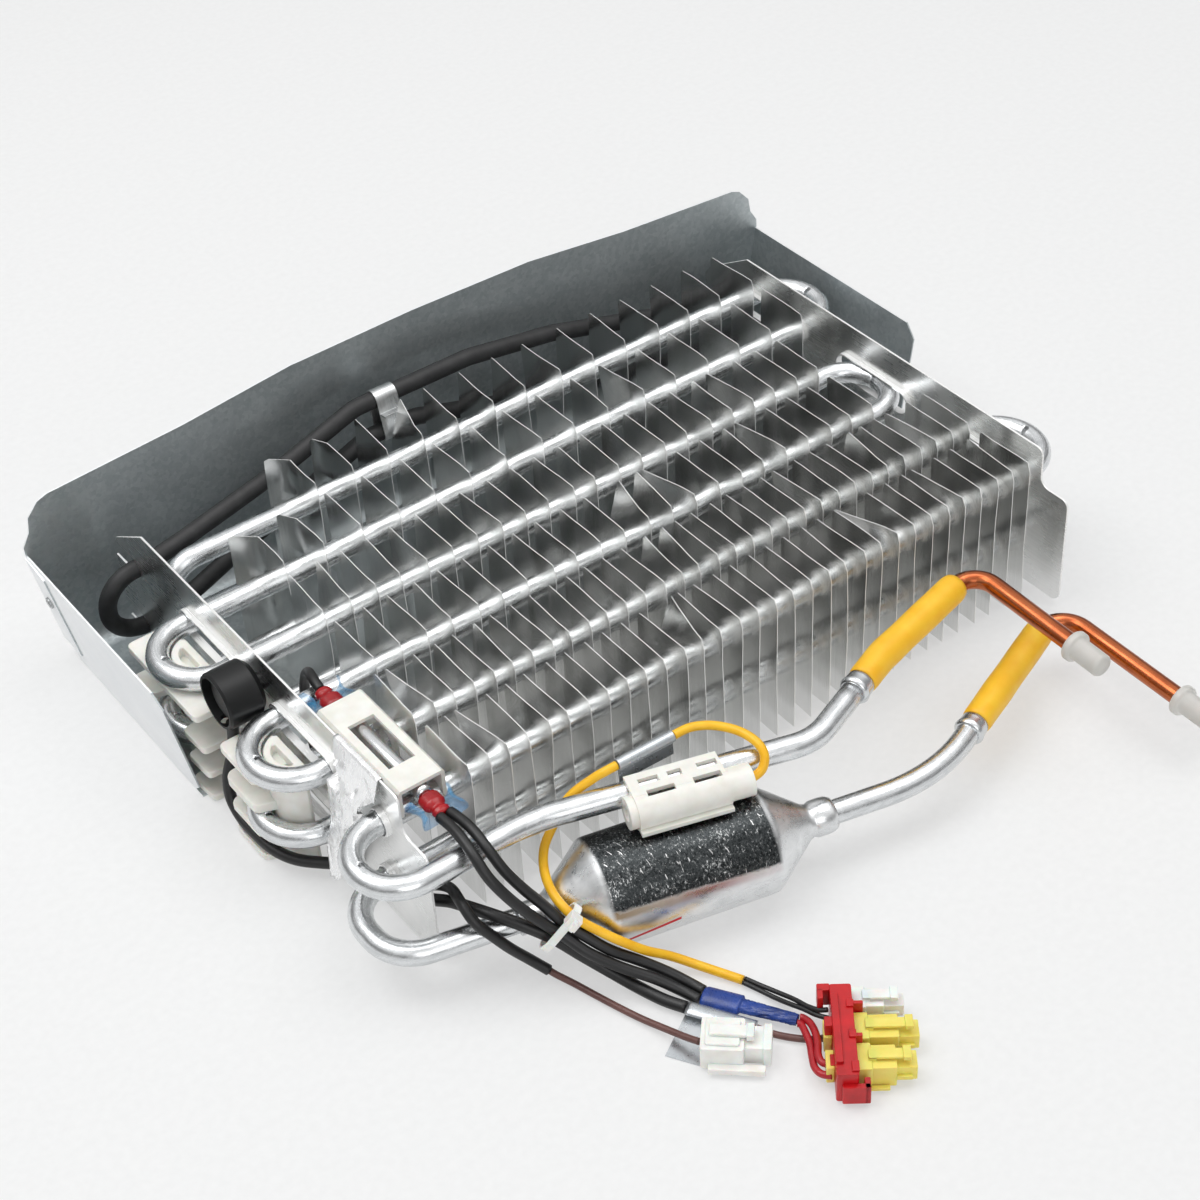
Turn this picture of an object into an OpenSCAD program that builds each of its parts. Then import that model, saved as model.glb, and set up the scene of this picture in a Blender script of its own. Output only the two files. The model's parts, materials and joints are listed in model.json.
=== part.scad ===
// Finned evaporator coil of a domestic refrigerator, lying flat, with its heater, tray and sensors.
// Lengths are in millimetres. X runs along the tubes, Y from the connections to the tray wall, Z up.

/* [Coil] */
// Distance between the outer faces of the two end plates
coil_len = 266; // [240:1:300]
// Distance between two rows of tubes
row_pitch = 30; // [28:0.5:33]
// Height between the lower and the upper layer of tubes
layer_pitch = 25; // [23:0.5:27]
// Outer diameter of the aluminium tube
tube_d = 8; // [7:0.25:8.5]
// Wall of the aluminium tube
tube_wall = 0.9; // [0.6:0.1:1.4]
// How far the straight tubes run out of the plates before an outer bend
bend_reach = 4; // [3:0.5:6]
// How far the two inner bends at the right stop short of the plate
inner_bend_back = 14; // [13:0.5:18]
// Distance from the left plate to the first bend of row 1, which turns down
first_turn_in = 6; // [5:1:20]

/* [Fins] */
// Thickness of a fin
fin_t = 0.25; // [0.2:0.05:0.5]
// Distance from the tube axis to the far edge of a fin
fin_far = 11; // [9:0.5:13]
// Distance from the tube axis to the near edge of a fin
fin_near = 14; // [12:0.5:14.5]
// Spacing of the fins on the first two rows
fin_pitch_wide = 15; // [12:0.5:18]
// Spacing of the fins on the two middle rows
fin_pitch_middle = 10; // [8:0.5:12]
// Spacing of the fins on the last two rows
fin_pitch_close = 7.5; // [6:0.25:9]
// Length of the drawn collar round each tube hole
fin_collar = 2; // [1:0.25:3]
// Distance from the right plate to the first fin
fin_clear_right = 9.5; // [6:0.5:12]

/* [End plates] */
// Thickness of an end plate
plate_t = 0.8; // [0.6:0.1:1.2]
// Height of an end plate
plate_h = 60; // [56:0.5:66]
// Reach of a plate past the last row at its top edge
plate_near = 11; // [9:0.5:13]
// Reach of the lower wing past the last row
wing_near = 24.4; // [22:0.1:26]
// Reach of the heater wing past the first row
wing_far = 26; // [22:0.5:28]
// Depth of the drawn lip round a slot
lip_h = 2; // [1:0.25:3]

/* [Tray] */
// Thickness of the galvanised sheet
sheet_t = 0.6; // [0.5:0.1:1]
// Distance from the first row to the inner face of the tray wall
wall_gap = 31.5; // [30:0.5:36]
// Height of the tray wall at its middle
wall_h = 79; // [74:1:86]
// Height of the side flanges
flange_h = 49; // [44:1:56]
// Distance from a plate to the foot of a flange
flange_gap = 21.5; // [21:0.5:26]
// How far a flange leans out at its top
flange_lean = 8; // [5:0.5:11]
// Depth of the tray floor from the wall
floor_depth = 96; // [80:1:110]

/* [Heater] */
// Diameter of the sheathed heater
heater_d = 6.5; // [5.5:0.25:7]
// Width of the strap that ties the two heater runs
strap_w = 9; // [6:0.5:12]
// Thickness of the strap
strap_t = 0.5; // [0.4:0.1:0.8]

/* [Accumulator] */
// Diameter of the accumulator
acc_d = 36; // [32:0.5:36]
// Wall of the accumulator
acc_wall = 1; // [0.8:0.1:1.5]
// Length of its straight body
acc_len = 57; // [45:1:60]
// Length of each cone
acc_cone = 17; // [14:0.5:20]

/* [Connections] */
// Diameter of the copper tubes
copper_d = 6.35; // [5.5:0.05:7]
// Wall of the copper tubes
copper_wall = 0.8; // [0.5:0.1:1]
// Outer diameter of the yellow shrink sleeves
sleeve_d = 10.3; // [9.5:0.1:11]
// Length of the joint rings
ring_len = 6; // [4:0.5:7]
// Length of the end caps
cap_len = 14; // [12:0.5:16]

/* [Controls] */
// Length of the white fuse bracket
fuse_len = 47; // [42:1:50]
// Width of the white fuse bracket
fuse_w = 17; // [15:0.5:19]
// Diameter of the thermal fuse
fuse_d = 6; // [5:0.25:7]
// Diameter of the rubber boot of the defrost switch
boot_d = 20.2; // [18:0.1:20.6]
// Length of the rubber boot
boot_len = 14; // [12:0.5:15]
// Length of the body of the white sensor holder
clip_len = 30; // [28:1:32]
// Diameter of the temperature sensor
probe_d = 5; // [4.5:0.25:6]

/* [Hidden] */

$fn = 48;
rows = 6;
clear = 0.1;
z_foot = sheet_t;
z_mid = z_foot + plate_h / 2;
z_low = z_mid - layer_pitch / 2;
z_high = z_mid + layer_pitch / 2;
bend_r = row_pitch / 2;
bore_d = tube_d - 2 * tube_wall;
function row_y(i) = -row_pitch * (i - 1);
last_y = row_y(rows);

// The origin is below the middle of the whole part, on the surface it lies on.
x_origin = coil_len / 2;
y_far = wall_gap + sheet_t;
y_tip = last_y - 112;
y_origin = (y_far + y_tip) / 2;
module place() translate([-x_origin, -y_origin, 0]) children();

function unit(v) = v / norm(v);

// A frame with its Z along one direction and its X as near as can be to another.
module frame_at(at, z, x0) {
    y = unit(cross(z, x0));
    x = cross(y, z);
    multmatrix([
        [x[0], y[0], z[0], at[0]],
        [x[1], y[1], z[1], at[1]],
        [x[2], y[2], z[2], at[2]],
        [0, 0, 0, 1]]) children();
}

// One straight length of tube between two points.
module straight(a, b, d, bore) {
    len = norm(b - a);
    if (len > 0.01) {
        z = unit(b - a);
        frame_at(a, z, abs(z[2]) > 0.9 ? [1, 0, 0] : [0, 0, 1]) difference() {
            cylinder(d = d, h = len);
            if (bore > 0) translate([0, 0, -1]) cylinder(d = bore, h = len + 2);
        }
    }
}

// One bend of tube at corner p, between unit directions back (to the last point) and on (to the next).
module bend(p, back, on, r, d, bore) {
    inner = acos(max(-1, min(1, back * on)));
    turn = 180 - inner;
    start = p + back * r * tan(turn / 2);
    centre = p + unit(back + on) * r / sin(inner / 2);
    x = unit(start - centre);
    y = -back;
    z = cross(x, y);
    multmatrix([
        [x[0], y[0], z[0], centre[0]],
        [x[1], y[1], z[1], centre[1]],
        [x[2], y[2], z[2], centre[2]],
        [0, 0, 0, 1]])
        rotate_extrude(angle = turn) translate([r, 0]) difference() {
            circle(d = d);
            if (bore > 0) circle(d = bore);
        }
}

function turn_at(pts, i) = 180 - acos(max(-1, min(1,
    unit(pts[i - 1] - pts[i]) * unit(pts[i + 1] - pts[i]))));
function trim(pts, radii, i) = (i == 0 || i == len(pts) - 1) ? 0 : radii[i] * tan(turn_at(pts, i) / 2);

// A tube bent along a list of corner points, each with its own bend radius. The straight lengths run
// a little into the bends, and are a hair thinner there, so that the lengths weld into one tube.
weld = 0.3;
hair = 0.04;
module bent_tube(pts, radii, d, bore = 0) {
    last = len(pts) - 1;
    for (i = [0 : last - 1]) {
        dir = unit(pts[i + 1] - pts[i]);
        a = pts[i] + dir * (trim(pts, radii, i) - (i > 0 ? weld : 0));
        b = pts[i + 1] - dir * (trim(pts, radii, i + 1) - (i + 1 < last ? weld : 0));
        if ((b - a) * dir > 2 * weld + 0.05)
            straight(a, b, d - 2 * hair, bore > 0 ? bore + 2 * hair : 0);
    }
    for (i = [1 : last - 1])
        if (turn_at(pts, i) > 0.5)
            bend(pts[i], unit(pts[i - 1] - pts[i]), unit(pts[i + 1] - pts[i]), radii[i], d, bore);
}

// A flat slot with round ends.
module slot_shape(len, w) {
    if (len > w) translate([-len / 2 + w / 2, -w / 2]) square([len - w, w]);
    for (s = len > w ? [-1, 1] : [1]) translate([s * (len / 2 - w / 2), 0]) circle(d = w);
}

module round_rect(w, l, r) {
    translate([-w / 2 + r, -l / 2]) square([w - 2 * r, l]);
    translate([-w / 2, -l / 2 + r]) square([w, l - 2 * r]);
    for (sx = [-1, 1], sy = [-1, 1]) translate([sx * (w / 2 - r), sy * (l / 2 - r)]) circle(r = r);
}

// Stands a drawing of the Y-Z plane up, with its thickness towards +X.
module on_side(x, t) translate([x, 0, 0]) rotate([90, 0, 90]) linear_extrude(t) children();

// Tray

flange_top_x = flange_gap + flange_lean;
tray_r = 8;
crown_x = 52;
crown_drop = 3;
end_drop = 11;
shoulder_w = 8;

// Outline of the wall: an arched top edge, rounded shoulders and ends that follow the leaning flanges.
module wall_outline() {
    l = coil_len;
    mid = l / 2;
    top = wall_h;
    w = l / 2 + flange_top_x - shoulder_w;
    e = sheet_t;
    difference() {
        polygon([
            [-flange_gap - e, sheet_t], [-flange_top_x - e, flange_h], [-flange_top_x - e, flange_h + 3],
            [-flange_top_x + 2.5, flange_h + 8], [-flange_top_x + 3.5, flange_h + 14],
            [mid - w, top - end_drop], [mid - w + 4, top - end_drop + 1.5],
            [mid - crown_x - 45, top - crown_drop - 3], [mid - crown_x, top - crown_drop + 2],
            [mid - crown_x + 2, top - 1], [mid, top], [mid + crown_x - 2, top - 1],
            [mid + crown_x, top - crown_drop + 2], [mid + crown_x + 45, top - crown_drop - 3],
            [mid + w - 4, top - end_drop + 1.5], [mid + w, top - end_drop],
            [l + flange_top_x - 3.5, flange_h + 14], [l + flange_top_x - 2.5, flange_h + 8],
            [l + flange_top_x + e, flange_h + 3], [l + flange_top_x + e, flange_h], [l + flange_gap + e, sheet_t]]);
        translate([-flange_top_x - 2, 0]) square([l + 2 * flange_top_x + 4, tray_r]);
    }
}

// Outline of a side flange in the Y-Z plane, with its rounded front corners.
module flange_outline() {
    front = y_far - floor_depth;
    r = 5;
    polygon([[y_far - sheet_t / 2, tray_r], [y_far - sheet_t / 2, flange_h], [front + r, flange_h],
        [front, flange_h - r], [front, r], [front + r, sheet_t / 2], [y_far - tray_r, sheet_t / 2]]);
}

module tray_flange() {
    lean = atan(flange_lean / flange_h);
    translate([-flange_gap, 0, 0]) rotate([0, -lean, 0]) {
        on_side(-sheet_t, sheet_t) flange_outline();
        on_side(-2 * sheet_t, sheet_t + 0.05)
            polygon([[y_far - 14, tray_r], [y_far, tray_r], [y_far, flange_h - 1], [y_far - 12, flange_h - 4]]);
    }
}

module tray() place() color("#9aa0a3") {
    l = coil_len;
    translate([0, y_far, 0]) rotate([90, 0, 0]) linear_extrude(sheet_t) wall_outline();
    translate([-flange_gap - sheet_t, 0, 0]) rotate([90, 0, 90]) linear_extrude(l + 2 * (flange_gap + sheet_t)) {
        translate([y_far - tray_r, tray_r]) intersection() {
            difference() {
                circle(r = tray_r);
                circle(r = tray_r - sheet_t);
            }
            translate([0, -tray_r]) square(tray_r);
        }
        translate([y_far - floor_depth, 0]) square([floor_depth - tray_r, sheet_t]);
    }
    tray_flange();
    translate([l, 0, 0]) mirror([1, 0, 0]) tray_flange();
}

module tray_rivets() place() color("#c8ccce") {
    lean = atan(flange_lean / flange_h);
    for (side = [0, 1])
        translate([side * coil_len, 0, 0]) mirror([side, 0, 0])
            translate([-flange_gap, 0, 0]) rotate([0, -lean, 0])
                translate([-2 * sheet_t - 1.2, y_far - 7, 31]) rotate([0, 90, 0]) {
                    translate([0, 0, 0.3]) cylinder(d = 4.4, h = 0.9);
                    cylinder(d = 3, h = 0.4);
                }
}

// End plates

slot_w = tube_d + 1;
heater_left_high = [10, z_foot + 40];
heater_left_low = [13, z_foot + 12.5];
heater_right_high = [18, z_foot + 32];
heater_right_low = [18, z_foot + 12.5];

// Outline in the Y-Z plane. The far wing is chamfered, the near wing is a low ear.
module plate_outline() {
    top = z_foot + plate_h;
    near = last_y - plate_near;
    ear = last_y - wing_near;
    ear_top = top - 15;
    difference() {
        union() {
            polygon([[0, top], [wing_far - 3, top - 14], [wing_far, top - 18], [wing_far, z_foot + 10],
                [wing_far - 6, z_foot], [0, z_foot]]);
            translate([near, z_foot]) square([-near, plate_h - 3]);
            translate([near + 3, top - 4]) square([-near - 3, 4]);
            translate([near + 3, top - 3]) circle(r = 3);
            translate([ear + 3, z_foot]) square([near - ear - 2, ear_top - 3 - z_foot]);
            translate([ear + 3, ear_top - 4]) square([near - ear - 2, 4]);
            translate([ear, z_foot + 4]) square([4, ear_top - 7 - z_foot]);
            translate([ear + 3, ear_top - 3]) circle(r = 3);
            translate([ear + 4, z_foot + 4]) circle(r = 4);
            translate([near - 4, ear_top - 1]) square([5, 5]);
        }
        translate([near - 4, ear_top + 4]) circle(r = 4);
    }
}

// Notches for the two heater runs, open to the tray wall.
module heater_notches(places) {
    w = heater_d + 2 * clear;
    for (p = places) {
        translate(p) circle(d = w);
        translate([p[0], p[1] - w / 2]) square([wing_far, w]);
    }
}

module plate_slot_ring(y, z, len) {
    on_side(-lip_h, lip_h + plate_t / 2) translate([y, z]) difference() {
        slot_shape(len + 2 * 0.6, slot_w + 2 * 0.6);
        slot_shape(len, slot_w);
    }
}

// Slots between two rows, and round holes for tubes that pass one by one.
module end_plate(pairs, singles, heater_at, studs) {
    on_side(0, plate_t) difference() {
        plate_outline();
        for (i = pairs, z = [z_low, z_high])
            translate([row_y(i) - bend_r, z]) slot_shape(row_pitch + slot_w, slot_w);
        for (i = singles, z = [z_low, z_high]) translate([row_y(i), z]) circle(d = slot_w);
        heater_notches(heater_at);
        for (p = studs) translate(p) circle(d = stud_d + 2 * clear);
        translate([last_y + 22, z_foot]) circle(d = 13);
    }
    for (i = pairs, z = [z_low, z_high]) plate_slot_ring(row_y(i) - bend_r, z, row_pitch + slot_w);
    for (i = singles, z = [z_low, z_high]) plate_slot_ring(row_y(i), z, slot_w);
}

module end_plate_left() place() color("#b4b8ba")
    end_plate([2, 4], [6], [heater_left_high, heater_left_low], [[boot_y, boot_z]]);

module end_plate_right() place() color("#b4b8ba")
    translate([coil_len - plate_t, 0, 0]) end_plate([1, 3, 5], [], [heater_right_high, heater_right_low], []);

// Coil tube

x_bend_left = -bend_reach - bend_r;
x_bend_right = coil_len + bend_reach + bend_r;
x_bend_inner = coil_len - inner_bend_back + bend_r;
x_hairpin = first_turn_in;
function right_x(i) = i == 3 ? x_bend_inner : x_bend_right;

// One layer of the coil, walked from row 6 to row 1.
function layer_path(z) = [
    for (i = [5, 3, 1], k = [0 : 3])
        [k < 2 ? right_x(i) : (i == 1 ? x_hairpin : x_bend_left),
         k == 0 ? row_y(i + 1) : (k == 3 ? row_y(i - 1) : row_y(i)), z]];
function first_n(v, n) = [for (i = [0 : n - 1]) v[i]];
function reversed(v) = [for (i = [len(v) - 1 : -1 : 0]) v[i]];

// Row 6 turns back at the left: above to the inlet pipe, below to the accumulator.
inlet_y = last_y - wing_near - tube_d / 2 - 0.4;
inlet_turn_x = -bend_reach + 0.4 - (last_y - inlet_y) / 2;
inlet_start = [152, last_y - 45.7, z_high];
inlet_low_corner = [123.4, last_y - 56.7, z_high];
inlet_bend = [34.7, inlet_y, z_high];
acc_angle = 14;
acc_dir = [cos(acc_angle), -sin(acc_angle), 0];
acc_start = [20, last_y - 39.7, z_low];
acc_neck = 8;
outlet_turn_x = -bend_reach - bend_r + 0.7;
outlet_turn = acc_start + acc_dir * (outlet_turn_x - acc_start[0]) / acc_dir[0];

coil_path = concat(
    [inlet_start, inlet_low_corner, inlet_bend,
     [inlet_turn_x, inlet_y, z_high], [inlet_turn_x, last_y, z_high]],
    first_n(layer_path(z_high), 11),
    reversed(first_n(layer_path(z_low), 11)),
    [[outlet_turn_x, last_y, z_low], outlet_turn, acc_start + acc_dir * (acc_neck - 2)]);

first_turn = 5 + 10;
function bend_radius(i) =
    i == 1 ? 20 : i == 2 ? 60 :
    (i == 3 || i == 4) ? (last_y - inlet_y) / 2 :
    (i == first_turn || i == first_turn + 1) ? layer_pitch / 2 : bend_r;
coil_radii = [for (i = [0 : len(coil_path) - 1]) bend_radius(i)];

module coil_tube() place() color("#cfd2d4") bent_tube(coil_path, coil_radii, tube_d, bore_d);

// Fins

fin_foot = z_foot + 0.4;
fin_top = z_foot + plate_h;
x_fin_last = coil_len - fin_clear_right;
x_fin_last_inner = coil_len - 27.5;

// One fin in the Y-Z plane, tube axis at y = 0.
module fin_outline() {
    hole = tube_d + 2 * clear;
    difference() {
        polygon([[-fin_near, fin_foot], [-fin_near, fin_top - 3.5], [-fin_near + 1.5, fin_top],
            [fin_far - 1, fin_top], [fin_far, fin_top - 1], [fin_far, fin_foot + 3], [fin_far - 3, fin_foot]]);
        for (z = [z_low, z_high]) translate([0, z]) circle(d = hole);
    }
}

module fin() {
    hole = tube_d + 2 * clear;
    on_side(0, fin_t) fin_outline();
    for (z = [z_low, z_high])
        on_side(0, fin_collar) translate([0, z]) difference() {
            circle(d = hole + 0.6);
            circle(d = hole);
        }
}

// Where the fins of each row stop, counted from the left plate.
fin_start = [55, 25, 24, 24, 23, 23];

module fin_row(i, pitch, last) {
    for (k = [0 : floor((last - fin_start[i - 1]) / pitch)])
        translate([last - k * pitch, row_y(i), 0]) fin();
}

module fins_row_1() place() color("#a9adaf") fin_row(1, fin_pitch_wide, x_fin_last);
module fins_row_2() place() color("#a9adaf") fin_row(2, fin_pitch_wide, x_fin_last);
module fins_row_3() place() color("#a9adaf") fin_row(3, fin_pitch_middle, x_fin_last_inner);
module fins_row_4() place() color("#a9adaf") fin_row(4, fin_pitch_middle, x_fin_last_inner);
module fins_row_5() place() color("#a9adaf") fin_row(5, fin_pitch_close, x_fin_last);
module fins_row_6() place() color("#a9adaf") fin_row(6, fin_pitch_close, x_fin_last);

// Accumulator

acc_bead = 8;
acc_total = 2 * acc_cone + acc_len + acc_neck + acc_bead;
acc_neck_d = tube_d + 2 * acc_wall;
acc_bead_d = tube_d + 2 * acc_wall + 2;
outlet_start = acc_start + acc_dir * (acc_total - acc_bead + 2);

// Half section along the axis, which a turn about that axis makes solid.
module acc_section(grow, neck_d, bead_d, edge) {
    s1 = acc_neck;
    s2 = s1 + acc_cone;
    s3 = s2 + acc_len;
    s4 = s3 + acc_cone;
    polygon([[0, -grow], [neck_d / 2, -grow], [neck_d / 2, s1], [acc_d / 2 - 1.5 - grow, s2 - 1.5],
        [acc_d / 2 - grow, s2 + 1], [acc_d / 2 - grow, s3 - 1], [acc_d / 2 - 1.5 - grow, s3 + 1.5],
        [neck_d / 2, s4], [bead_d / 2, s4 + (bead_d - neck_d) / 2],
        [bead_d / 2, acc_total - edge], [bead_d / 2 - edge, acc_total + grow], [0, acc_total + grow]]);
}

module accumulator() place() color("#b9bcbe")
    frame_at(acc_start, acc_dir, [0, 0, 1]) difference() {
        rotate_extrude() acc_section(0, acc_neck_d, acc_bead_d, 1.5);
        rotate_extrude() acc_section(acc_wall, tube_d + 2 * clear, tube_d + 2 * clear, 0);
    }

// Outlet tube, joints and copper tubes

outlet_corner = acc_start + acc_dir * 144;
outlet_rise = 21.6;
outlet_end = outlet_corner + 28 * [cos(outlet_rise), sin(outlet_rise), 0];
copper_corner_out = outlet_corner + 94 * [cos(outlet_rise), sin(outlet_rise), 0];
copper_tip_out = [coil_len - 20.5, last_y - 112, z_low];
inlet_rise = atan((inlet_start[1] - inlet_low_corner[1]) / (inlet_start[0] - inlet_low_corner[0]));
inlet_dir = [cos(inlet_rise), sin(inlet_rise), 0];
copper_bend_in = inlet_start + 14 * inlet_dir;
copper_corner_in = [coil_len - 48, last_y - 27.5, z_high];
copper_tip_in = [coil_len - 50, last_y - 89.5, z_high];
sleeve_bore = copper_d + 2 * clear;

module outlet_tube() place() color("#cfd2d4")
    bent_tube([outlet_start, outlet_corner, outlet_end], [0, 60, 0], tube_d, bore_d);

module joint_ring(at, dir) {
    frame_at(at, dir, [0, 0, 1]) difference() {
        rotate_extrude() polygon([[0, -ring_len], [tube_d / 2 + 0.6, -ring_len], [tube_d / 2 + 1.2, -ring_len + 1],
            [tube_d / 2 + 0.8, -2], [tube_d / 2 + 0.8, 0], [0, 0]]);
        translate([0, 0, -ring_len - 1]) cylinder(d = tube_d + 2 * clear, h = ring_len + 0.7);
        translate([0, 0, -2]) cylinder(d = sleeve_bore, h = 4);
    }
}

outlet_dir = unit(outlet_end - outlet_corner);
joint_reach = 0.5;
module joint_ring_outlet() place() color("#c9cbcc") joint_ring(outlet_end + outlet_dir * joint_reach, outlet_dir);
module joint_ring_inlet() place() color("#c9cbcc") joint_ring(inlet_start + inlet_dir * joint_reach, inlet_dir);

// Copper lines: joint, long shrink sleeve, bend, crimped end in a cap.
cap_floor = 2;
line_in = [inlet_start + inlet_dir * joint_reach, copper_bend_in, copper_corner_in,
    copper_tip_in - unit(copper_tip_in - copper_corner_in) * cap_floor];
line_in_radii = [0, 30, 8, 0];
line_out = [outlet_end + outlet_dir * joint_reach, copper_corner_out,
    copper_tip_out - unit(copper_tip_out - copper_corner_out) * cap_floor];
line_out_radii = [0, 9, 0];

module copper_tube_inlet() place() color("#b8622e") bent_tube(line_in, line_in_radii, copper_d, copper_d - 2 * copper_wall);
module copper_tube_outlet() place() color("#b8622e") bent_tube(line_out, line_out_radii, copper_d, copper_d - 2 * copper_wall);

sleeve_in_len = norm(copper_corner_in - copper_bend_in) - trim(line_in, line_in_radii, 2) - 0.5;
sleeve_out_len = 52;
module shrink_sleeve_inlet() place() color("#f2b313") {
    on = unit(copper_corner_in - copper_bend_in);
    bent_tube([line_in[0] + inlet_dir * 0.05, copper_bend_in, copper_bend_in + on * sleeve_in_len],
        [0, 30, 0], sleeve_d, sleeve_bore);
}
module shrink_sleeve_outlet() place() color("#f2b313")
    straight(line_out[0] + outlet_dir * 0.05, line_out[0] + outlet_dir * sleeve_out_len, sleeve_d, sleeve_bore);

module end_cap(tip, dir) {
    frame_at(tip, -dir, [0, 0, 1]) difference() {
        rotate_extrude() polygon([[0, 0], [copper_d / 2, 0], [copper_d / 2 + 0.8, 1], [copper_d / 2 + 0.8, cap_len - 3],
            [copper_d / 2 + 2.2, cap_len - 2.5], [copper_d / 2 + 2.2, cap_len], [0, cap_len]]);
        translate([0, 0, 1.8]) cylinder(d = copper_d + 2 * clear, h = cap_len);
    }
}
module cap_inlet() place() color("#f1efe9") end_cap(copper_tip_in, unit(line_in[3] - line_in[2]));
module cap_outlet() place() color("#f1efe9") end_cap(copper_tip_out, unit(line_out[2] - line_out[1]));

// Heater: the upper run, a turn outside the left plate and the lower run

heater_y = 20;
strap_x = 110;
heater_high_z = wall_h - 21.5;
heater_strap_low = [17, 45];
heater_turn_x = -13;
heater_end_x = coil_len + 9;
function at_x(x, p) = [x, p[0], p[1]];
heater_path = [
    at_x(heater_end_x, heater_right_high), at_x(coil_len - 8, heater_right_high),
    [coil_len - 80, heater_y, heater_high_z - 6], [coil_len - 118, heater_y, heater_high_z],
    [strap_x - 12, heater_y, heater_high_z], [62, 17, z_high + 5], [20, heater_left_high[0] + 2, z_high - 1],
    at_x(4, heater_left_high), at_x(heater_turn_x, heater_left_high),
    at_x(heater_turn_x, heater_left_low), at_x(6, heater_left_low),
    [24, 16, z_low - 2], [48, heater_y, z_low + 4], [strap_x - 10, heater_strap_low[0], heater_strap_low[1]],
    [strap_x + 10, heater_strap_low[0], heater_strap_low[1]], [coil_len - 116, heater_y, z_low + 16],
    [coil_len - 60, heater_y, z_low - 2], at_x(coil_len - 12, heater_right_low), at_x(heater_end_x, heater_right_low)];
heater_turn_r = (heater_left_high[1] - heater_left_low[1]) / 2;
heater_radii = [for (i = [0 : len(heater_path) - 1]) (i == 8 || i == 9) ? heater_turn_r - 0.5 : 20];

module heater() place() color("#2b2c2e") bent_tube(heater_path, heater_radii, heater_d);

module heater_end_seals() place() color("#1d1d1f")
    for (p = [heater_right_high, heater_right_low])
        translate([coil_len + 3, p[0], p[1]]) rotate([0, 90, 0]) difference() {
            union() {
                cylinder(d = heater_d + 2.4, h = 11);
                translate([0, 0, 11]) cylinder(d1 = heater_d + 2.4, d2 = heater_d, h = 2);
            }
            translate([0, 0, -1]) cylinder(d = heater_d + 2 * clear, h = heater_end_x - coil_len - 2 + clear);
        }

// A band round both runs, with a short tail where its ends meet.
module heater_strap() place() color("#c6c9cb") {
    a = [heater_y, heater_high_z];
    b = heater_strap_low;
    mid = (a + b) / 2;
    reach = norm(a - b);
    slope = atan2(a[1] - b[1], a[0] - b[0]);
    inner = heater_d + 2 * clear;
    on_side(strap_x - strap_w / 2, strap_w) translate(mid) rotate(slope) {
        difference() {
            slot_shape(reach + inner + 2 * strap_t, inner + 2 * strap_t);
            slot_shape(reach + inner, inner);
        }
        translate([reach * 0.1, inner / 2]) square([strap_t, 4]);
    }
}

// Tube holders between the left bends

holder_t = 2.8;
holder_x = -flange_gap + 0.3;
holder_w = -6 - holder_x;
module tube_holder(i, length) {
    y = row_y(i) - bend_r;
    z1 = z_high - tube_d / 2 - clear - holder_t;
    z2 = z_low + tube_d / 2 + clear;
    z3 = z_low - tube_d / 2 - clear - holder_t;
    for (z = [z_foot, z3, z2, z1])
        translate([holder_x + holder_w / 2, y, z]) linear_extrude(holder_t) round_rect(holder_w, length, 2.5);
    // The core that fills the inside of the bends, open towards the plate.
    translate([0, y, z_foot]) linear_extrude(z_high + tube_d / 2 - z_foot) intersection() {
        difference() {
            translate([-bend_reach, 0]) circle(r = bend_r - tube_d / 2 - clear);
            translate([-bend_reach, 0]) circle(r = bend_r - tube_d / 2 - 2.2);
        }
        translate([-bend_reach - bend_r, -bend_r]) square([bend_r + bend_reach - lip_h - 0.3, 2 * bend_r]);
    }
}
module tube_holder_1() place() color("#eeece4") tube_holder(2, 47);
module tube_holder_2() place() color("#eeece4") tube_holder(4, 43);

// Defrost switch in its rubber boot, hung on the left plate

boot_y = row_y(3) - 17;
boot_z = z_foot + 48.4;
boot_x = -lip_h - 0.3;
stud_d = 6;
module defrost_switch_boot() place() color("#141415")
    translate([boot_x - boot_len, boot_y, boot_z]) rotate([0, 90, 0]) {
        difference() {
            rotate_extrude() polygon([[0, 0], [boot_d / 2 - 0.6, 0], [boot_d / 2, 0.8], [boot_d / 2, boot_len - 2],
                [boot_d / 2 - 2, boot_len], [0, boot_len]]);
            translate([0, 0, -1]) cylinder(d = boot_d - 3, h = boot_len - 4);
            translate([boot_d / 2 - 4, 0, boot_len / 2 - 4.4]) rotate([0, 90, 0]) cylinder(d = 4.2, h = 8);
        }
        // Neck through the plate and a round head behind it.
        translate([0, 0, boot_len - 0.5]) cylinder(d = stud_d, h = 0.5 - boot_x + plate_t + clear);
        translate([0, 0, boot_len - boot_x + plate_t + clear]) cylinder(d = stud_d + 3, h = 2);
    }

module defrost_switch() place() color("#3a3b3d")
    translate([boot_x - boot_len, boot_y, boot_z]) rotate([0, 90, 0]) {
        translate([0, 0, 3]) cylinder(d = boot_d - 3 - 2 * clear, h = boot_len - 8 - clear);
        translate([0, 0, 2]) cylinder(d = boot_d - 9, h = 1);
    }

// Thermal fuse in its bracket, on rows 5 and 6

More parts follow.
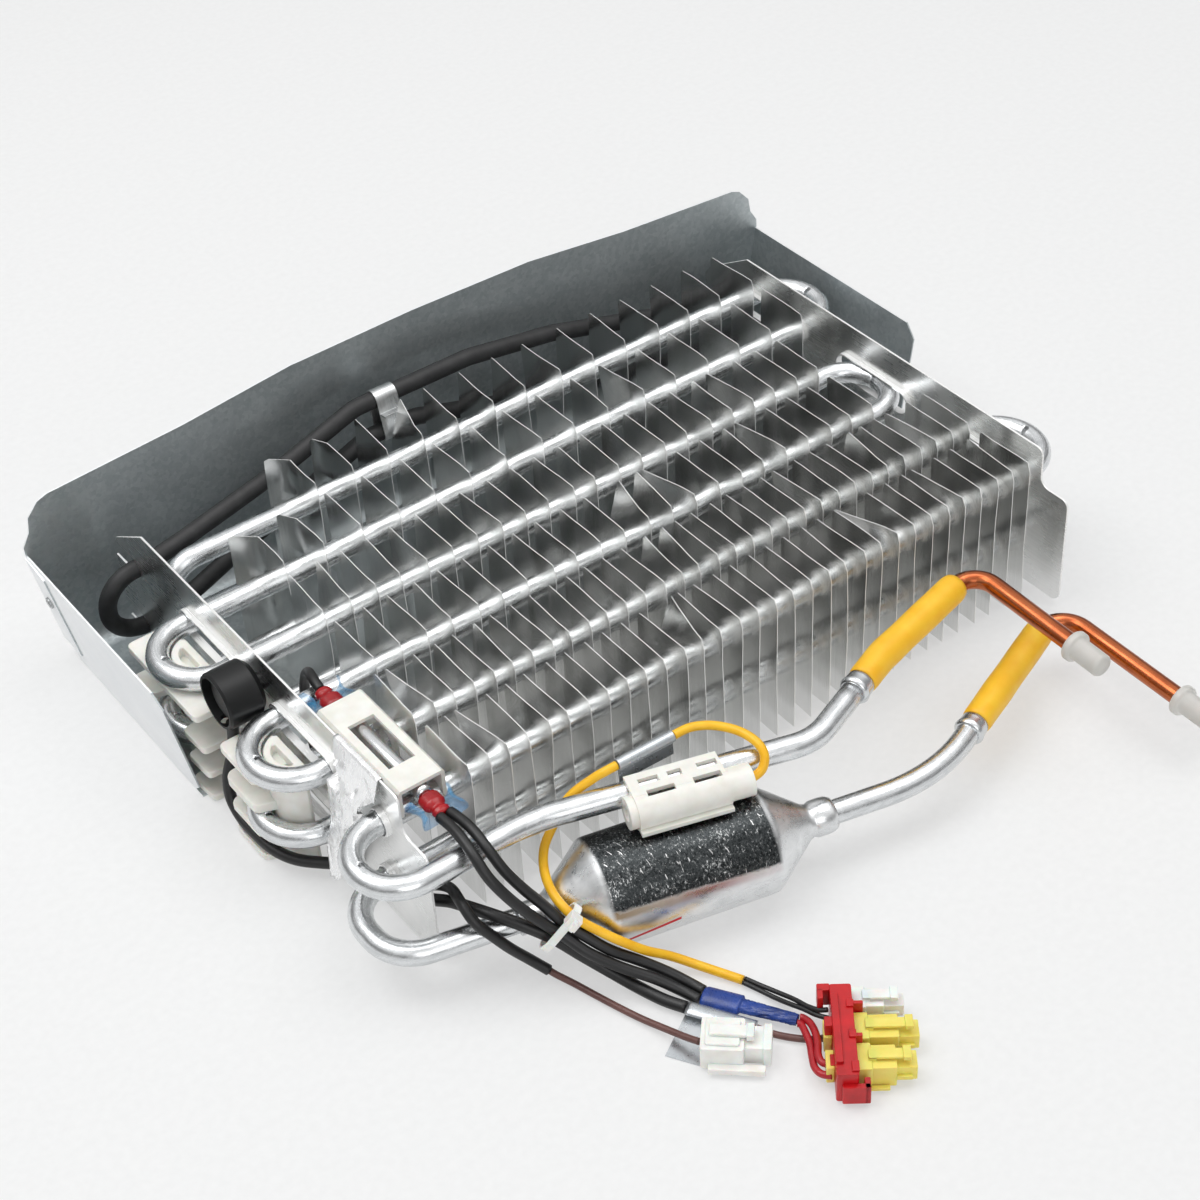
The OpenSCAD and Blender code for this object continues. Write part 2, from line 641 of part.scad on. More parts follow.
fuse_x = 12.5;
fuse_y0 = last_y - 4;
fuse_y1 = fuse_y0 + fuse_len;
fuse_z = z_high + tube_d / 2 + fuse_d / 2 + clear;
bracket_top = fuse_z + fuse_d / 2 + 1.7;
bracket_wall = 1.4;
module fuse_bracket() place() color("#f3f2ee") {
    low = z_high - tube_d / 2;
    difference() {
        translate([fuse_x - fuse_w / 2, fuse_y0, low]) cube([fuse_w, fuse_len, bracket_top - low]);
        translate([fuse_x - fuse_w / 2 + bracket_wall, fuse_y0 - 1, low - 1])
            cube([fuse_w - 2 * bracket_wall, fuse_len + 2, bracket_top - bracket_wall - low + 1]);
        for (i = [rows - 1, rows])
            translate([0, row_y(i), z_high]) rotate([0, 90, 0]) cylinder(d = tube_d + 2 * clear, h = 40);
        translate([0, last_y + 6.5, low - 1]) cube([40, row_pitch - 13, tube_d / 2 + 5]);
        translate([0, fuse_y1 - 6.5, low - 1]) cube([40, 8, tube_d / 2 + 5]);
        translate([0, fuse_y0 - 1, low - 1]) cube([40, last_y - fuse_y0 + 1, tube_d / 2 + 1]);
        translate([fuse_x - 4.75, fuse_y1 - 36.5, low]) cube([9.5, 24, 30]);
        for (s = [-1, 1])
            translate([fuse_x + s * fuse_w / 2, 0, bracket_top]) rotate([-90, 45, 0])
                translate([-0.7, -0.7, fuse_y0 - 1]) cube([1.4, 1.4, fuse_len + 2]);
    }
    // Two cradles that hold the fuse from below.
    for (y = [fuse_y0 + 9, fuse_y1 - 9]) difference() {
        translate([fuse_x - fuse_w / 2 + 1, y - 1, fuse_z - 1.6]) cube([fuse_w - 2, 2, 4.6]);
        translate([fuse_x, y - 2, fuse_z]) rotate([-90, 0, 0]) cylinder(d = fuse_d + 2 * clear, h = 4);
    }
}

fuse_reach = 2;
module fuse() place() color("#c3c6c8")
    translate([fuse_x, fuse_y0 - fuse_reach, fuse_z]) rotate([-90, 0, 0]) rotate_extrude()
        polygon([[0, 0], [fuse_d / 2 - 1, 0], [fuse_d / 2, 1], [fuse_d / 2, fuse_len + 2 * fuse_reach - 1],
            [fuse_d / 2 - 1, fuse_len + 2 * fuse_reach], [0, fuse_len + 2 * fuse_reach]]);

terminal_len = 10;
fuse_ends = [[fuse_y0 - fuse_reach, -1], [fuse_y1 + fuse_reach, 1]];
module fuse_terminals() place() color("#b3141d")
    for (e = fuse_ends)
        translate([fuse_x, e[0] + e[1] * clear / 2, fuse_z]) rotate([-90 * e[1], 0, 0]) rotate_extrude()
            polygon([[0, 0], [2, 0], [2.7, 1], [2.7, terminal_len - 3], [1.8, terminal_len], [0, terminal_len]]);

module fuse_sleeves() place() color("#8fbfd6")
    for (e = fuse_ends)
        translate([fuse_x, e[0] + e[1] * (1 + 6), fuse_z]) rotate([90, 0, 0])
            translate([0, 0, -6]) linear_extrude(12) difference() {
                slot_shape(14.5, 6.6);
                slot_shape(13.3, 5.42);
            }

// Strip of foil tape over the top edge of the left plate

module foil_tape() place() color("#d5d7d8") {
    top = z_foot + plate_h;
    a = last_y - 1;
    b = last_y + row_pitch - 6;
    t = 0.3;
    translate([-t - 0.1, 0, top]) rotate([0, 11, 0]) on_side(-t / 2, t)
        polygon([[a, t / 2], [b, t / 2], [b + 0.4, -16], [b - 1, -28], [b - 1.2, -42], [b - 5, -51], [b - 10, -49],
            [a + 7.4, -30], [a + 7, -14], [a, -8]]);
    translate([-t - 0.2, a, top + 0.05]) cube([plate_t + 2 * t + 0.8, b - a, t]);
    translate([plate_t + 0.3, a, top - 8]) cube([t, b - a, 8.2]);
}

// Sensor holder on the inlet pipe, with its probe

clip_slope = atan((inlet_bend[1] - inlet_low_corner[1]) / (inlet_low_corner[0] - inlet_bend[0]));
clip_dir = [cos(clip_slope), -sin(clip_slope), 0];
clip_at = inlet_bend + clip_dir * 45;
probe_off = 7.6;
probe_z = -0.6;
clip_tube = 12;
clip_ends = [-17, 23.5];
module in_clip() translate(clip_at) rotate([0, 0, -clip_slope]) children();

module sensor_holder() place() color("#f2f1ea") in_clip() {
    u0 = -clip_len / 2 + 0.5;
    top = tube_d / 2 + 0.1;
    difference() {
        union() {
            translate([u0, -probe_off, probe_z]) rotate([0, 90, 0]) cylinder(d = clip_tube, h = clip_len);
            translate([clip_ends[0], -probe_off, probe_z]) rotate([0, 90, 0])
                cylinder(d = clip_tube - 1.5, h = clip_ends[1] - clip_ends[0]);
            translate([u0, -probe_off, top]) cube([clip_len, probe_off + 2, 1.4]);
            translate([u0, -probe_off, -top - 1.2]) cube([clip_len, probe_off + 1, 1.2]);
            translate([u0, -probe_off - clip_tube / 2 - 1, probe_z - 4.6]) cube([clip_len, 3, 1.4]);
        }
        translate([u0 - 9, 0, 0]) rotate([0, 90, 0]) cylinder(d = tube_d + 2 * clear, h = clip_len + 22);
        translate([clip_ends[0] - 1, -probe_off, probe_z]) rotate([0, 90, 0])
            cylinder(d = probe_d + 2 * clear, h = clip_ends[1] - clip_ends[0] + 2);
        translate([u0, -probe_off, probe_z]) rotate([0, 90, 0]) translate([0, 0, 2])
            cylinder(d = clip_tube - 2.6, h = clip_len - 4);
        for (x = [-11, -1.5, 8]) translate([x, -3.4, 0]) cube([x == -1.5 ? 4.5 : 6.5, 2.6, 10]);
        for (x = [-10, 5]) translate([x, -probe_off - 1, 2]) cube([9, 2.4, 10]);
    }
}

module sensor_probe() place() color("#d9d7cf") in_clip()
    translate([clip_ends[0] + 3, -probe_off, probe_z]) rotate([0, 90, 0]) rotate_extrude()
        polygon([[0, 0], [probe_d / 2 - 1, 0], [probe_d / 2, 1], [probe_d / 2, 34], [0, 34]]);

// Leads. Each route is a list of points, chosen by hand, that a round tube follows.

function tangents(p) = [for (i = [0 : len(p) - 1]) unit(p[min(i + 1, len(p) - 1)] - p[max(i - 1, 0)])];
function normals(t, n, i = 0) = i == len(t) ? [] :
    let (m = unit(n - t[i] * (n * t[i]))) concat([m], normals(t, m, i + 1));

module lead(p, d) {
    sides = 8;
    n = len(p);
    t = tangents(p);
    a = normals(t, abs(t[0][2]) > 0.8 ? [1, 0, 0] : [0, 0, 1]);
    points = [for (i = [0 : n - 1], k = [0 : sides - 1])
        p[i] + d / 2 * (a[i] * cos(360 * k / sides) + cross(t[i], a[i]) * sin(360 * k / sides))];
    walls = [for (i = [0 : n - 2], k = [0 : sides - 1]) let (m = (k + 1) % sides)
        [i * sides + k, (i + 1) * sides + k, (i + 1) * sides + m, i * sides + m]];
    ends = [[for (k = [0 : sides - 1]) k], [for (k = [sides - 1 : -1 : 0]) (n - 1) * sides + k]];
    polyhedron(points, concat(walls, ends));
}

sensor_lead_d = 3;
switch_lead_d = 4;
fuse_lead_d = 3.5;

sensor_loop_route = [[95, -205.7, 42.5], [98.2, -206.8, 42.9], [101.5, -207.4, 44.7], [103.7, -206.1, 47.5],
    [104.4, -203.2, 49.7], [103.9, -198.5, 50.7], [101.9, -193, 51], [97.5, -187.6, 51.3], [92, -184.3, 51.3],
    [86, -183.5, 51]];
sensor_route = [[65, -182, 50], [61, -181.7, 49.7], [57.5, -179.8, 47.3], [50, -177.2, 42], [43, -178, 35],
    [37, -181, 30.8], [32, -188.5, 29], [29.3, -198, 28.4], [30.7, -205.7, 25.5], [35.4, -211.8, 21.2], [40, -216.4, 17.5],
    [46, -219.4, 12], [53.4, -222, 6.4], [60.5, -229, 2.5], [67, -240, 1.6]];
switch_route = [[-12, -77, 38.2], [-12.5, -77, 32], [-14.5, -77.5, 25], [-17.5, -78, 17.5], [-19, -80.5, 10.5],
    [-19.5, -88, 6.8], [-19.5, -97, 6.8], [-18.5, -106.5, 6.8], [-15, -114.5, 6.6], [-8.5, -121, 6],
    [0.8, -127.5, 4.2], [5, -135, 3.2], [5.3, -146.5, 5.5], [4.2, -157, 12], [4.5, -166, 18], [6, -174.5, 23.3],
    [8.5, -182, 25.3], [12.5, -189.5, 25.3], [18, -196.5, 23], [24, -202.5, 18.5], [29.5, -208.5, 12.5],
    [35, -215.3, 7], [39.6, -223.3, 3.5], [43.2, -231.5, 2.4], [46.6, -238, 2.4]];
fuse_far_route = [[12.5, -94.6, 50.2], [13, -90, 50.8], [14.5, -83.5, 49], [15.5, -78, 42], [15.5, -75.5, 32],
    [15, -76, 21.5], [13.5, -81, 11.5], [11.5, -90, 6], [10, -102, 5], [9.5, -114, 4.5], [9.3, -126, 4.5],
    [9, -138, 5], [8.5, -149, 8], [8.6, -158.5, 15.5], [7.8, -167, 23], [6.8, -175, 28.7], [5, -183, 30.7],
    [5.4, -189.5, 27], [9, -193, 21.5], [13, -195.5, 15.5], [17.7, -198, 9.5], [21.8, -202, 5]];
fuse_near_route_1 = [[10.7, -166.4, 50.4], [10.8, -172, 51], [10.5, -178.5, 51], [10, -185.5, 49.5], [10.5, -191.5, 45],
    [13.5, -196, 38.5], [18, -199, 31], [22.5, -202.5, 25], [26, -207, 21], [30, -213, 16.5], [36.8, -219.5, 11],
    [44, -226, 6.6], [49, -232.2, 3.2], [51.5, -238.2, 2.4]];
fuse_near_route_2 = [[14.3, -166.4, 50.4], [14.8, -172, 51], [15, -178.5, 51], [15, -186, 48.8], [16.5, -191, 43.5],
    [20, -195, 36.5], [24, -199, 30], [27.2, -204.2, 24.4], [31, -209.5, 20.5], [36, -215, 15.5], [42.9, -220, 10.3],
    [49.2, -225.8, 5.6], [52.9, -231.3, 3], [54.7, -236.2, 2.4]];

// Routes are given from the left plate, with row 1 at y = 0.
module sensor_lead_loop() place() color("#f0b010") lead(sensor_loop_route, sensor_lead_d);
module sensor_lead() place() color("#f0b010") lead(sensor_route, sensor_lead_d);
module switch_lead() place() color("#161617") lead(switch_route, switch_lead_d);
module fuse_lead_far() place() color("#161617") lead(fuse_far_route, fuse_lead_d);
module fuse_lead_near_1() place() color("#161617") lead(fuse_near_route_1, fuse_lead_d);
module fuse_lead_near_2() place() color("#161617") lead(fuse_near_route_2, fuse_lead_d);

// Sleeves, labels and thin wires on the leads

function last(v) = v[len(v) - 1];
sleeve_gap = 0.3;
sensor_sleeve_dir = unit(sensor_route[0] - last(sensor_loop_route));
module sensor_label_sleeve() place() color("#aeb6ba")
    straight(last(sensor_loop_route) + sleeve_gap * sensor_sleeve_dir, sensor_route[0] - sleeve_gap * sensor_sleeve_dir,
        sensor_lead_d + 1, 0);

module sensor_label() place() color("#e4e5e4") {
    a = last(sensor_loop_route);
    b = sensor_route[0];
    along = unit(b - a);
    translate([0, 0, -sensor_lead_d / 2 - 0.6]) frame_at(a, along, [0, 0, -1])
        translate([0, -0.15, 0.5]) cube([5.5, 0.3, norm(b - a) - 1]);
}

switch_sleeve_end = last(switch_route) + [11.3, -18.9, 0];
switch_sleeve_dir = unit(switch_sleeve_end - last(switch_route));
module switch_label_sleeve() place() color("#b7bdc0")
    straight(last(switch_route) + sleeve_gap * switch_sleeve_dir, switch_sleeve_end, switch_lead_d, 0);

label_t = 0.3;
module switch_label() place() color("#dfe3e5") {
    a = last(switch_route);
    frame_at([a[0], a[1], 0], switch_sleeve_dir, [0, 0, 1]) cube([label_t, 17.5, 21]);
}

wire_d = 2.2;
module brown_wire_switch() place() color("#4a2a22")
    lead([switch_sleeve_end + sleeve_gap * switch_sleeve_dir, [61.2, -261.8, 1.4], [64.6, -266, 1.15], [68, -270, 1.6],
        [70, -273, 3.4], [71.1, -274.6, 5.4]], wire_d);

module brown_wire_fuse() place() color("#5d3a33")
    lead([last(fuse_far_route) + [0.2, -0.2, -0.2], [23.4, -203.9, 3.3], [26, -208.8, 2], [28.6, -216, 1.4], [31.5, -225, 1.3], [34.2, -233, 1.5],
        [36.6, -240.5, 2.6], [38.6, -247.8, 4.2], [40.2, -252.5, 5.3]], wire_d);

thin_wire_d = 1.6;
module sensor_wires() place() color("#101011") {
    a = last(sensor_route);
    lead([a + [0.8, 0.2, 0], [70, -245, 1.4], [71.9, -251, 2.2], [72.9, -257, 4], [73.2, -262.5, 5.8],
        [74.2, -266.6, 7.2], [75.8, -268.7, 8]], thin_wire_d);
    lead([a + [-0.6, -0.6, 0], [68.6, -246, 1.2], [70, -251.5, 1.8], [71, -257, 3.4], [72.2, -262, 4.8],
        [73.1, -266.6, 5.8], [74.6, -270.3, 6.6]], thin_wire_d);
}

// Flat where it covers two leads, and narrower where it covers two thin wires.
shrink_start = (last(fuse_near_route_1) + last(fuse_near_route_2)) / 2;
shrink_dir = unit([16, -26.7, 1.2]);
module blue_heat_shrink() place() color("#1f3f8f") frame_at(shrink_start + shrink_dir * 0.5, shrink_dir, [0, 0, 1]) {
    linear_extrude(12) rotate(90) slot_shape(7.4, 4);
    hull() {
        translate([0, 0, 12]) linear_extrude(0.1) rotate(90) slot_shape(7.4, 4, $fn = 24);
        translate([0, 0, 17]) linear_extrude(0.1) rotate(90) slot_shape(5.6, 3.4, $fn = 24);
    }
    translate([0, 0, 17]) linear_extrude(13) rotate(90) slot_shape(5.6, 3.4);
}

module red_wires() place() color("#a81c22") {
    a = shrink_start + shrink_dir * 30.8;
    side = unit([-shrink_dir[1], shrink_dir[0], 0]) * 1.25;
    lead([a - side, a - side + shrink_dir * 1.2, [67.3, -268.6, 4.1], [65.5, -272.8, 4.2], [62.9, -276.8, 4.2], [60.9, -280.4, 4.3], [60.7, -283.6, 4.7],
        [62.5, -286.2, 5]], 2.3);
    lead([a + side, a + side + shrink_dir * 1.2, [70.5, -267.2, 4.4], [68.9, -271.3, 5.1], [66.5, -275.2, 5.4], [64, -278.2, 5.7], [63, -281.1, 5.8],
        [64.5, -283.5, 5.8]], 2.3);
}

tie_at = [25.5, -203.2, 23.8];
tie_inner = [16.4, 8.2];
tie_dir = unit([0.45, -0.65, -0.6]);
module cable_tie() place() color("#eceae0") frame_at(tie_at, tie_dir, [7, -2, 6]) {
    linear_extrude(2.5) difference() {
        slot_shape(tie_inner[0] + 1.4, tie_inner[1] + 1.4);
        slot_shape(tie_inner[0], tie_inner[1]);
    }
    translate([4.5, tie_inner[1] / 2 + 0.3, -0.8]) cube([4, 4.5, 4]);
}

// Connectors, lying on the floor and on the label

inline_at = [40.5, -252.8, label_t + 0.05];
inline_angle = -42;
module inline_connector() place() color("#f4f4f2") translate(inline_at) rotate([0, 0, inline_angle]) {
    difference() {
        translate([0, -6.5, 0]) cube([13, 13, 10]);
        translate([-1, 0, 5]) rotate([0, 90, 0]) cylinder(d = wire_d + 0.4, h = 3);
    }
    translate([13, -4.5, 1.5]) cube([8, 9, 7]);
    translate([5, -8.5, 1]) cube([13, 2, 3.5]);
    translate([3, -2.5, 10]) cube([14, 5, 1.2]);
}

plug_at = [72.5, -280, 0];
plug_angle = -36.9;
plug_pitch = 11.3;
plug_mid = 3.4;
housing_t = 7;
housing_h = 14;
module in_plugs() translate(plug_at) rotate([0, 0, plug_angle]) children();

// A holder for three plugs: a bar with pockets and a hook at each end.
module red_housing() place() color("#b5121b") in_plugs() difference() {
    union() {
        translate([-3.5, -18, 0]) cube([housing_t, 36, housing_h]);
        translate([-7, 14, 3]) cube([4, 3.5, 9]);
        translate([-6, -3, 9]) cube([3, 5, 4]);
        translate([3.5, 8.7, 4]) cube([3, 1.2, 9.5]);
    }
    for (k = [-1 : 1])
        translate([-1, plug_mid + k * plug_pitch - 4.3, 2]) cube([housing_t, 8.6, housing_h - 4]);
}

module plug(k, length, w, h) {
    in_plugs() translate([-0.9, plug_mid + k * plug_pitch, 0]) {
        translate([0, -4.2, 2.1]) cube([6, 8.4, housing_h - 4.2]);
        translate([4.5, -w / 2, 1]) cube([length - 10, w, h]);
        translate([length - 6, -w / 2 + 1.5, 2.5]) cube([7, w - 3, h - 3]);
        translate([6, -1.6, h + 1]) cube([length - 7, 3.2, 1.3]);
    }
}
module white_plug() place() color("#f3f1ec") plug(1, 19, 9, 9);
module yellow_plug_1() place() color("#efd93b") plug(0, 23, 10, 10.5);
module yellow_plug_2() place() color("#efd93b") plug(-1, 21, 10, 10.5);

tray();
tray_rivets();
end_plate_left();
end_plate_right();
coil_tube();
fins_row_1();
fins_row_2();
fins_row_3();
fins_row_4();
fins_row_5();
fins_row_6();
accumulator();
outlet_tube();
joint_ring_inlet();
joint_ring_outlet();
shrink_sleeve_inlet();
shrink_sleeve_outlet();
copper_tube_inlet();
copper_tube_outlet();
cap_inlet();
cap_outlet();
heater();
heater_end_seals();
heater_strap();
tube_holder_1();
tube_holder_2();
defrost_switch_boot();
defrost_switch();
fuse_bracket();
fuse();
fuse_terminals();
fuse_sleeves();
foil_tape();
sensor_holder();
sensor_probe();
sensor_label_sleeve();
sensor_label();
sensor_lead_loop();
sensor_lead();
sensor_wires();
switch_lead();
switch_label_sleeve();
switch_label();
brown_wire_switch();
fuse_lead_far();
brown_wire_fuse();
fuse_lead_near_1();
fuse_lead_near_2();
blue_heat_shrink();
red_wires();
cable_tie();
inline_connector();
red_housing();
white_plug();
yellow_plug_1();
yellow_plug_2();
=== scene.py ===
"""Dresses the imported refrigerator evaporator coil: camera, leads, metals, plastics, floor and light."""
import json
import math
import bmesh
import bpy
from mathutils import Matrix, Vector, noise
from mathutils.geometry import delaunay_2d_cdt


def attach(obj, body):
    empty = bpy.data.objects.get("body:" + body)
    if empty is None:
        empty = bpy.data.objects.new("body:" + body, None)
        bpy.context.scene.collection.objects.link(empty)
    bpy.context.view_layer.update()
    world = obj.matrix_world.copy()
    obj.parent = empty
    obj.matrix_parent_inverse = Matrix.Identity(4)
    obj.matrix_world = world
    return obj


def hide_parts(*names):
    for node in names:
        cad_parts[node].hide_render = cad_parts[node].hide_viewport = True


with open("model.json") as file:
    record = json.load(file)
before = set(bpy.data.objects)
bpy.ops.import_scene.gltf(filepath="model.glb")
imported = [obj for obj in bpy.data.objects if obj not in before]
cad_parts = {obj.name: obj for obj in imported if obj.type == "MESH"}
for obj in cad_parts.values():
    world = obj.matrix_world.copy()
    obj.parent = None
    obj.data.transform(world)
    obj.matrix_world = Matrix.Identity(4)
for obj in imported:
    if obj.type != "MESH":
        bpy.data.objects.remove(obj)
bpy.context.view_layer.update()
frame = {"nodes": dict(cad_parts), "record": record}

scene = bpy.context.scene

# Places are written in millimetres from the left end plate and the first row of tubes, as the part's
# source writes them, and place turns them to metres in the part's own frame.
ORIGIN = Vector((133, -114.95, 0))


def place(point):
    return (Vector(point) - ORIGIN) / 1000


def link(obj):
    """Puts an object in the scene."""
    scene.collection.objects.link(obj)
    return obj


def set_camera():
    """The camera stands where the photograph's did, to the left of the connections and looking down."""
    stand = (-0.36, -0.49405, 0.556)
    azimuth, elevation, roll = (math.radians(a) for a in (34.18, 40.35, -3.71))
    forward = Vector((math.sin(azimuth) * math.cos(elevation), math.cos(azimuth) * math.cos(elevation),
                      -math.sin(elevation)))
    side = Vector((math.cos(azimuth), -math.sin(azimuth), 0))
    above = side.cross(forward)
    right = side * math.cos(roll) + above * math.sin(roll)
    up = above * math.cos(roll) - side * math.sin(roll)
    camera = link(bpy.data.objects.new("photo_camera", bpy.data.cameras.new("photo_camera")))
    camera.matrix_world = Matrix.Translation(stand) @ Matrix((right, up, -forward)).transposed().to_4x4()
    camera.data.sensor_fit = "HORIZONTAL"
    camera.data.sensor_width = 36
    camera.data.lens = 70.94
    camera.data.clip_start = 0.01
    scene.camera = camera


set_camera()


# Materials

def srgb(code):
    """A colour written #rrggbb, as Blender's linear numbers."""
    parts = [int(code[i:i + 2], 16) / 255 for i in (1, 3, 5)]
    return [c / 12.92 if c <= 0.04045 else ((c + 0.055) / 1.055) ** 2.4 for c in parts] + [1.0]


NOISE = "ShaderNodeTexNoise"
RAMP = "ShaderNodeValToRGB"
MIX = "ShaderNodeMix"
MATH = "ShaderNodeMath"
RANGE = "ShaderNodeMapRange"
BUMP = "ShaderNodeBump"


def add(tree, kind, given=None, stops=(), **settings):
    """Adds one node. given sets its inputs, each by a value or by the socket or node that feeds it, and
    stops are the colours or greys along a colour ramp."""
    made = tree.nodes.new(kind)
    for name, value in settings.items():
        setattr(made, name, value)
    for name, value in (given or {}).items():
        port = made.inputs[name] if isinstance(name, int) else next(
            p for p in made.inputs if p.name == name and p.enabled)
        if isinstance(value, bpy.types.Node):
            value = next(p for p in value.outputs if p.enabled)
        if isinstance(value, bpy.types.NodeSocket):
            tree.links.new(value, port)
        else:
            port.default_value = value
    for n, (at, tone) in enumerate(stops):
        places = made.color_ramp.elements
        if n == len(places):
            places.new(1.0)
        places[n].position = at
        places[n].color = srgb(tone) if isinstance(tone, str) else (tone, tone, tone, 1)
    return made


def emptied(owner):
    """The node tree of a material or of the world, with nothing in it yet."""
    owner.use_nodes = True
    owner.node_tree.nodes.clear()
    return owner.node_tree


def surface(name, **values):
    """A material that holds a Principled shader with the given values, and its output."""
    made = bpy.data.materials.new(name)
    tree = emptied(made)
    shader = add(tree, "ShaderNodeBsdfPrincipled", values)
    add(tree, "ShaderNodeOutputMaterial", {"Surface": shader})
    return made, tree, shader


def feed(tree, shader, **sources):
    """Links patterns to the shader's own inputs."""
    for name, source in sources.items():
        tree.links.new(source.outputs[2] if source.bl_idname == MIX else source.outputs[0],
                       shader.inputs[name.replace("_", " ")])


def positions(tree, size, turn=(0, 0, 0), at=(0, 0, 0), source="object"):
    """Positions in steps of the given sizes in millimetres, from the object or along a tube's skin."""
    if source == "skin":
        start = add(tree, "ShaderNodeAttribute", attribute_name="skin").outputs["Vector"]
    else:
        start = add(tree, "ShaderNodeTexCoord").outputs["Object"]
    moved = add(tree, "ShaderNodeMapping", {"Vector": start, "Location": at, "Rotation": turn},
                vector_type="TEXTURE")
    return add(tree, "ShaderNodeMapping", {"Vector": moved, "Scale": [1000 / s for s in size]})


# A spot that the tray's walls stand round, in metres.
TRAY_MIDDLE = (0, 0, 0.03)


def galvanised_sheet():
    # Hot dipped galvanised steel: a blue grey zinc skin with fine spangle and cloudy, satin patches.
    # The outside is painted paler and less metallic as its lit look, and the inside keeps a darker tone as
    # painted shade.
    made, tree, shader = surface("galvanised_sheet")
    cells = add(tree, "ShaderNodeTexVoronoi", {"Vector": positions(tree, (1.6, 1.6, 1.6)), "Scale": 1.0},
                feature="F1")
    spangle = add(tree, "ShaderNodeSeparateColor", {"Color": cells.outputs["Color"]})
    cloud = add(tree, NOISE, {"Vector": positions(tree, (38, 38, 22)), "Scale": 1.0, "Detail": 4.0,
                              "Roughness": 0.6})
    fine = add(tree, NOISE, {"Vector": positions(tree, (0.9, 0.9, 0.9)), "Scale": 1.0})
    broad = add(tree, RAMP, {"Fac": cloud}, ((0.3, "#aeb5b7"), (0.7, "#c7cdce")))
    grains = add(tree, RAMP, {"Fac": spangle}, ((0.0, "#a5adb1"), (1.0, "#d2d7d8")))
    inside = add(tree, MIX, {"Factor": 0.35, "A": broad, "B": grains}, data_type="RGBA")
    # Painted light: a pale tone for the lit outer side.
    painted_lit_outside_tone = add(tree, RAMP, {"Fac": cloud}, ((0.3, "#eceef0"), (0.7, "#f6f7f8")))
    # Which way the skin faces from the tray's own middle says which side of the sheet it is.
    spot = add(tree, "ShaderNodeNewGeometry")
    off = add(tree, "ShaderNodeVectorMath", {0: spot.outputs["Position"], 1: TRAY_MIDDLE},
              operation="SUBTRACT")
    facing = add(tree, "ShaderNodeVectorMath", {0: off, 1: spot.outputs["True Normal"]},
                 operation="DOT_PRODUCT")
    # Painted light and shade: the outer side gets the pale lit tone and less metal, and the inside keeps the
    # darker tone as painted shade.
    lit_outer_side = add(tree, RANGE, {"Value": facing, "From Min": -0.001, "From Max": 0.001})
    tone = add(tree, MIX, {"Factor": lit_outer_side, "A": inside, "B": painted_lit_outside_tone}, data_type="RGBA")
    dull = add(tree, RAMP, {"Fac": fine}, ((0.3, 0.46), (0.7, 0.62)))
    metal = add(tree, RANGE, {"Value": lit_outer_side, "To Min": 1.0, "To Max": 0.45})
    height = add(tree, BUMP, {"Height": fine, "Strength": 0.5, "Distance": 0.00002})
    feed(tree, shader, Base_Color=tone, Roughness=dull, Metallic=metal, Normal=height)
    return made


def rolled_aluminium(name, light, dark, rough, lines, scuff, cut=False):
    # Mill finish aluminium sheet: bright, with fine roller lines and a few rubbed, duller patches. Where
    # the sheet stands across the coil, its sheared edges are matt and nearly white.
    made, tree, shader = surface(name, Metallic=1.0)
    roller = add(tree, NOISE, {"Vector": positions(tree, lines), "Scale": 1.0, "Detail": 3.0})
    patch = add(tree, NOISE, {"Vector": positions(tree, (22, 16, 30)), "Scale": 1.0, "Detail": 3.0})
    rubbed = add(tree, RAMP, {"Fac": patch}, ((0.3, dark), (0.7, light)))
    lined = add(tree, RAMP, {"Fac": roller}, ((0.3, dark), (0.7, light)))
    tone = add(tree, MIX, {"Factor": 0.4, "A": rubbed, "B": lined}, data_type="RGBA")
    fine = add(tree, RAMP, {"Fac": roller}, ((0.25, rough[0]), (0.75, rough[1])))
    worn = add(tree, RAMP, {"Fac": patch}, ((0.35, rough[0]), (0.75, rough[1] + scuff)))
    dull = add(tree, MIX, {"Factor": 0.5, "A": fine, "B": worn}, data_type="RGBA")
    height = add(tree, BUMP, {"Height": roller, "Strength": 0.35, "Distance": 0.00002})
    if cut:
        spot = add(tree, "ShaderNodeNewGeometry")
        facing = add(tree, "ShaderNodeSeparateXYZ", {"Vector": spot.outputs["True Normal"]})
        across = add(tree, MATH, {0: facing.outputs["X"]}, operation="ABSOLUTE")
        edge = add(tree, RANGE, {"Value": across, "From Min": 0.5, "From Max": 0.3})
        tone = add(tree, MIX, {"Factor": edge, "A": tone, "B": srgb("#fbfbfa")}, data_type="RGBA")
        metal = add(tree, RANGE, {"Value": edge, "To Min": 1.0, "To Max": 0.2})
        feed(tree, shader, Metallic=metal)
    feed(tree, shader, Base_Color=tone, Roughness=dull, Normal=height)
    return made


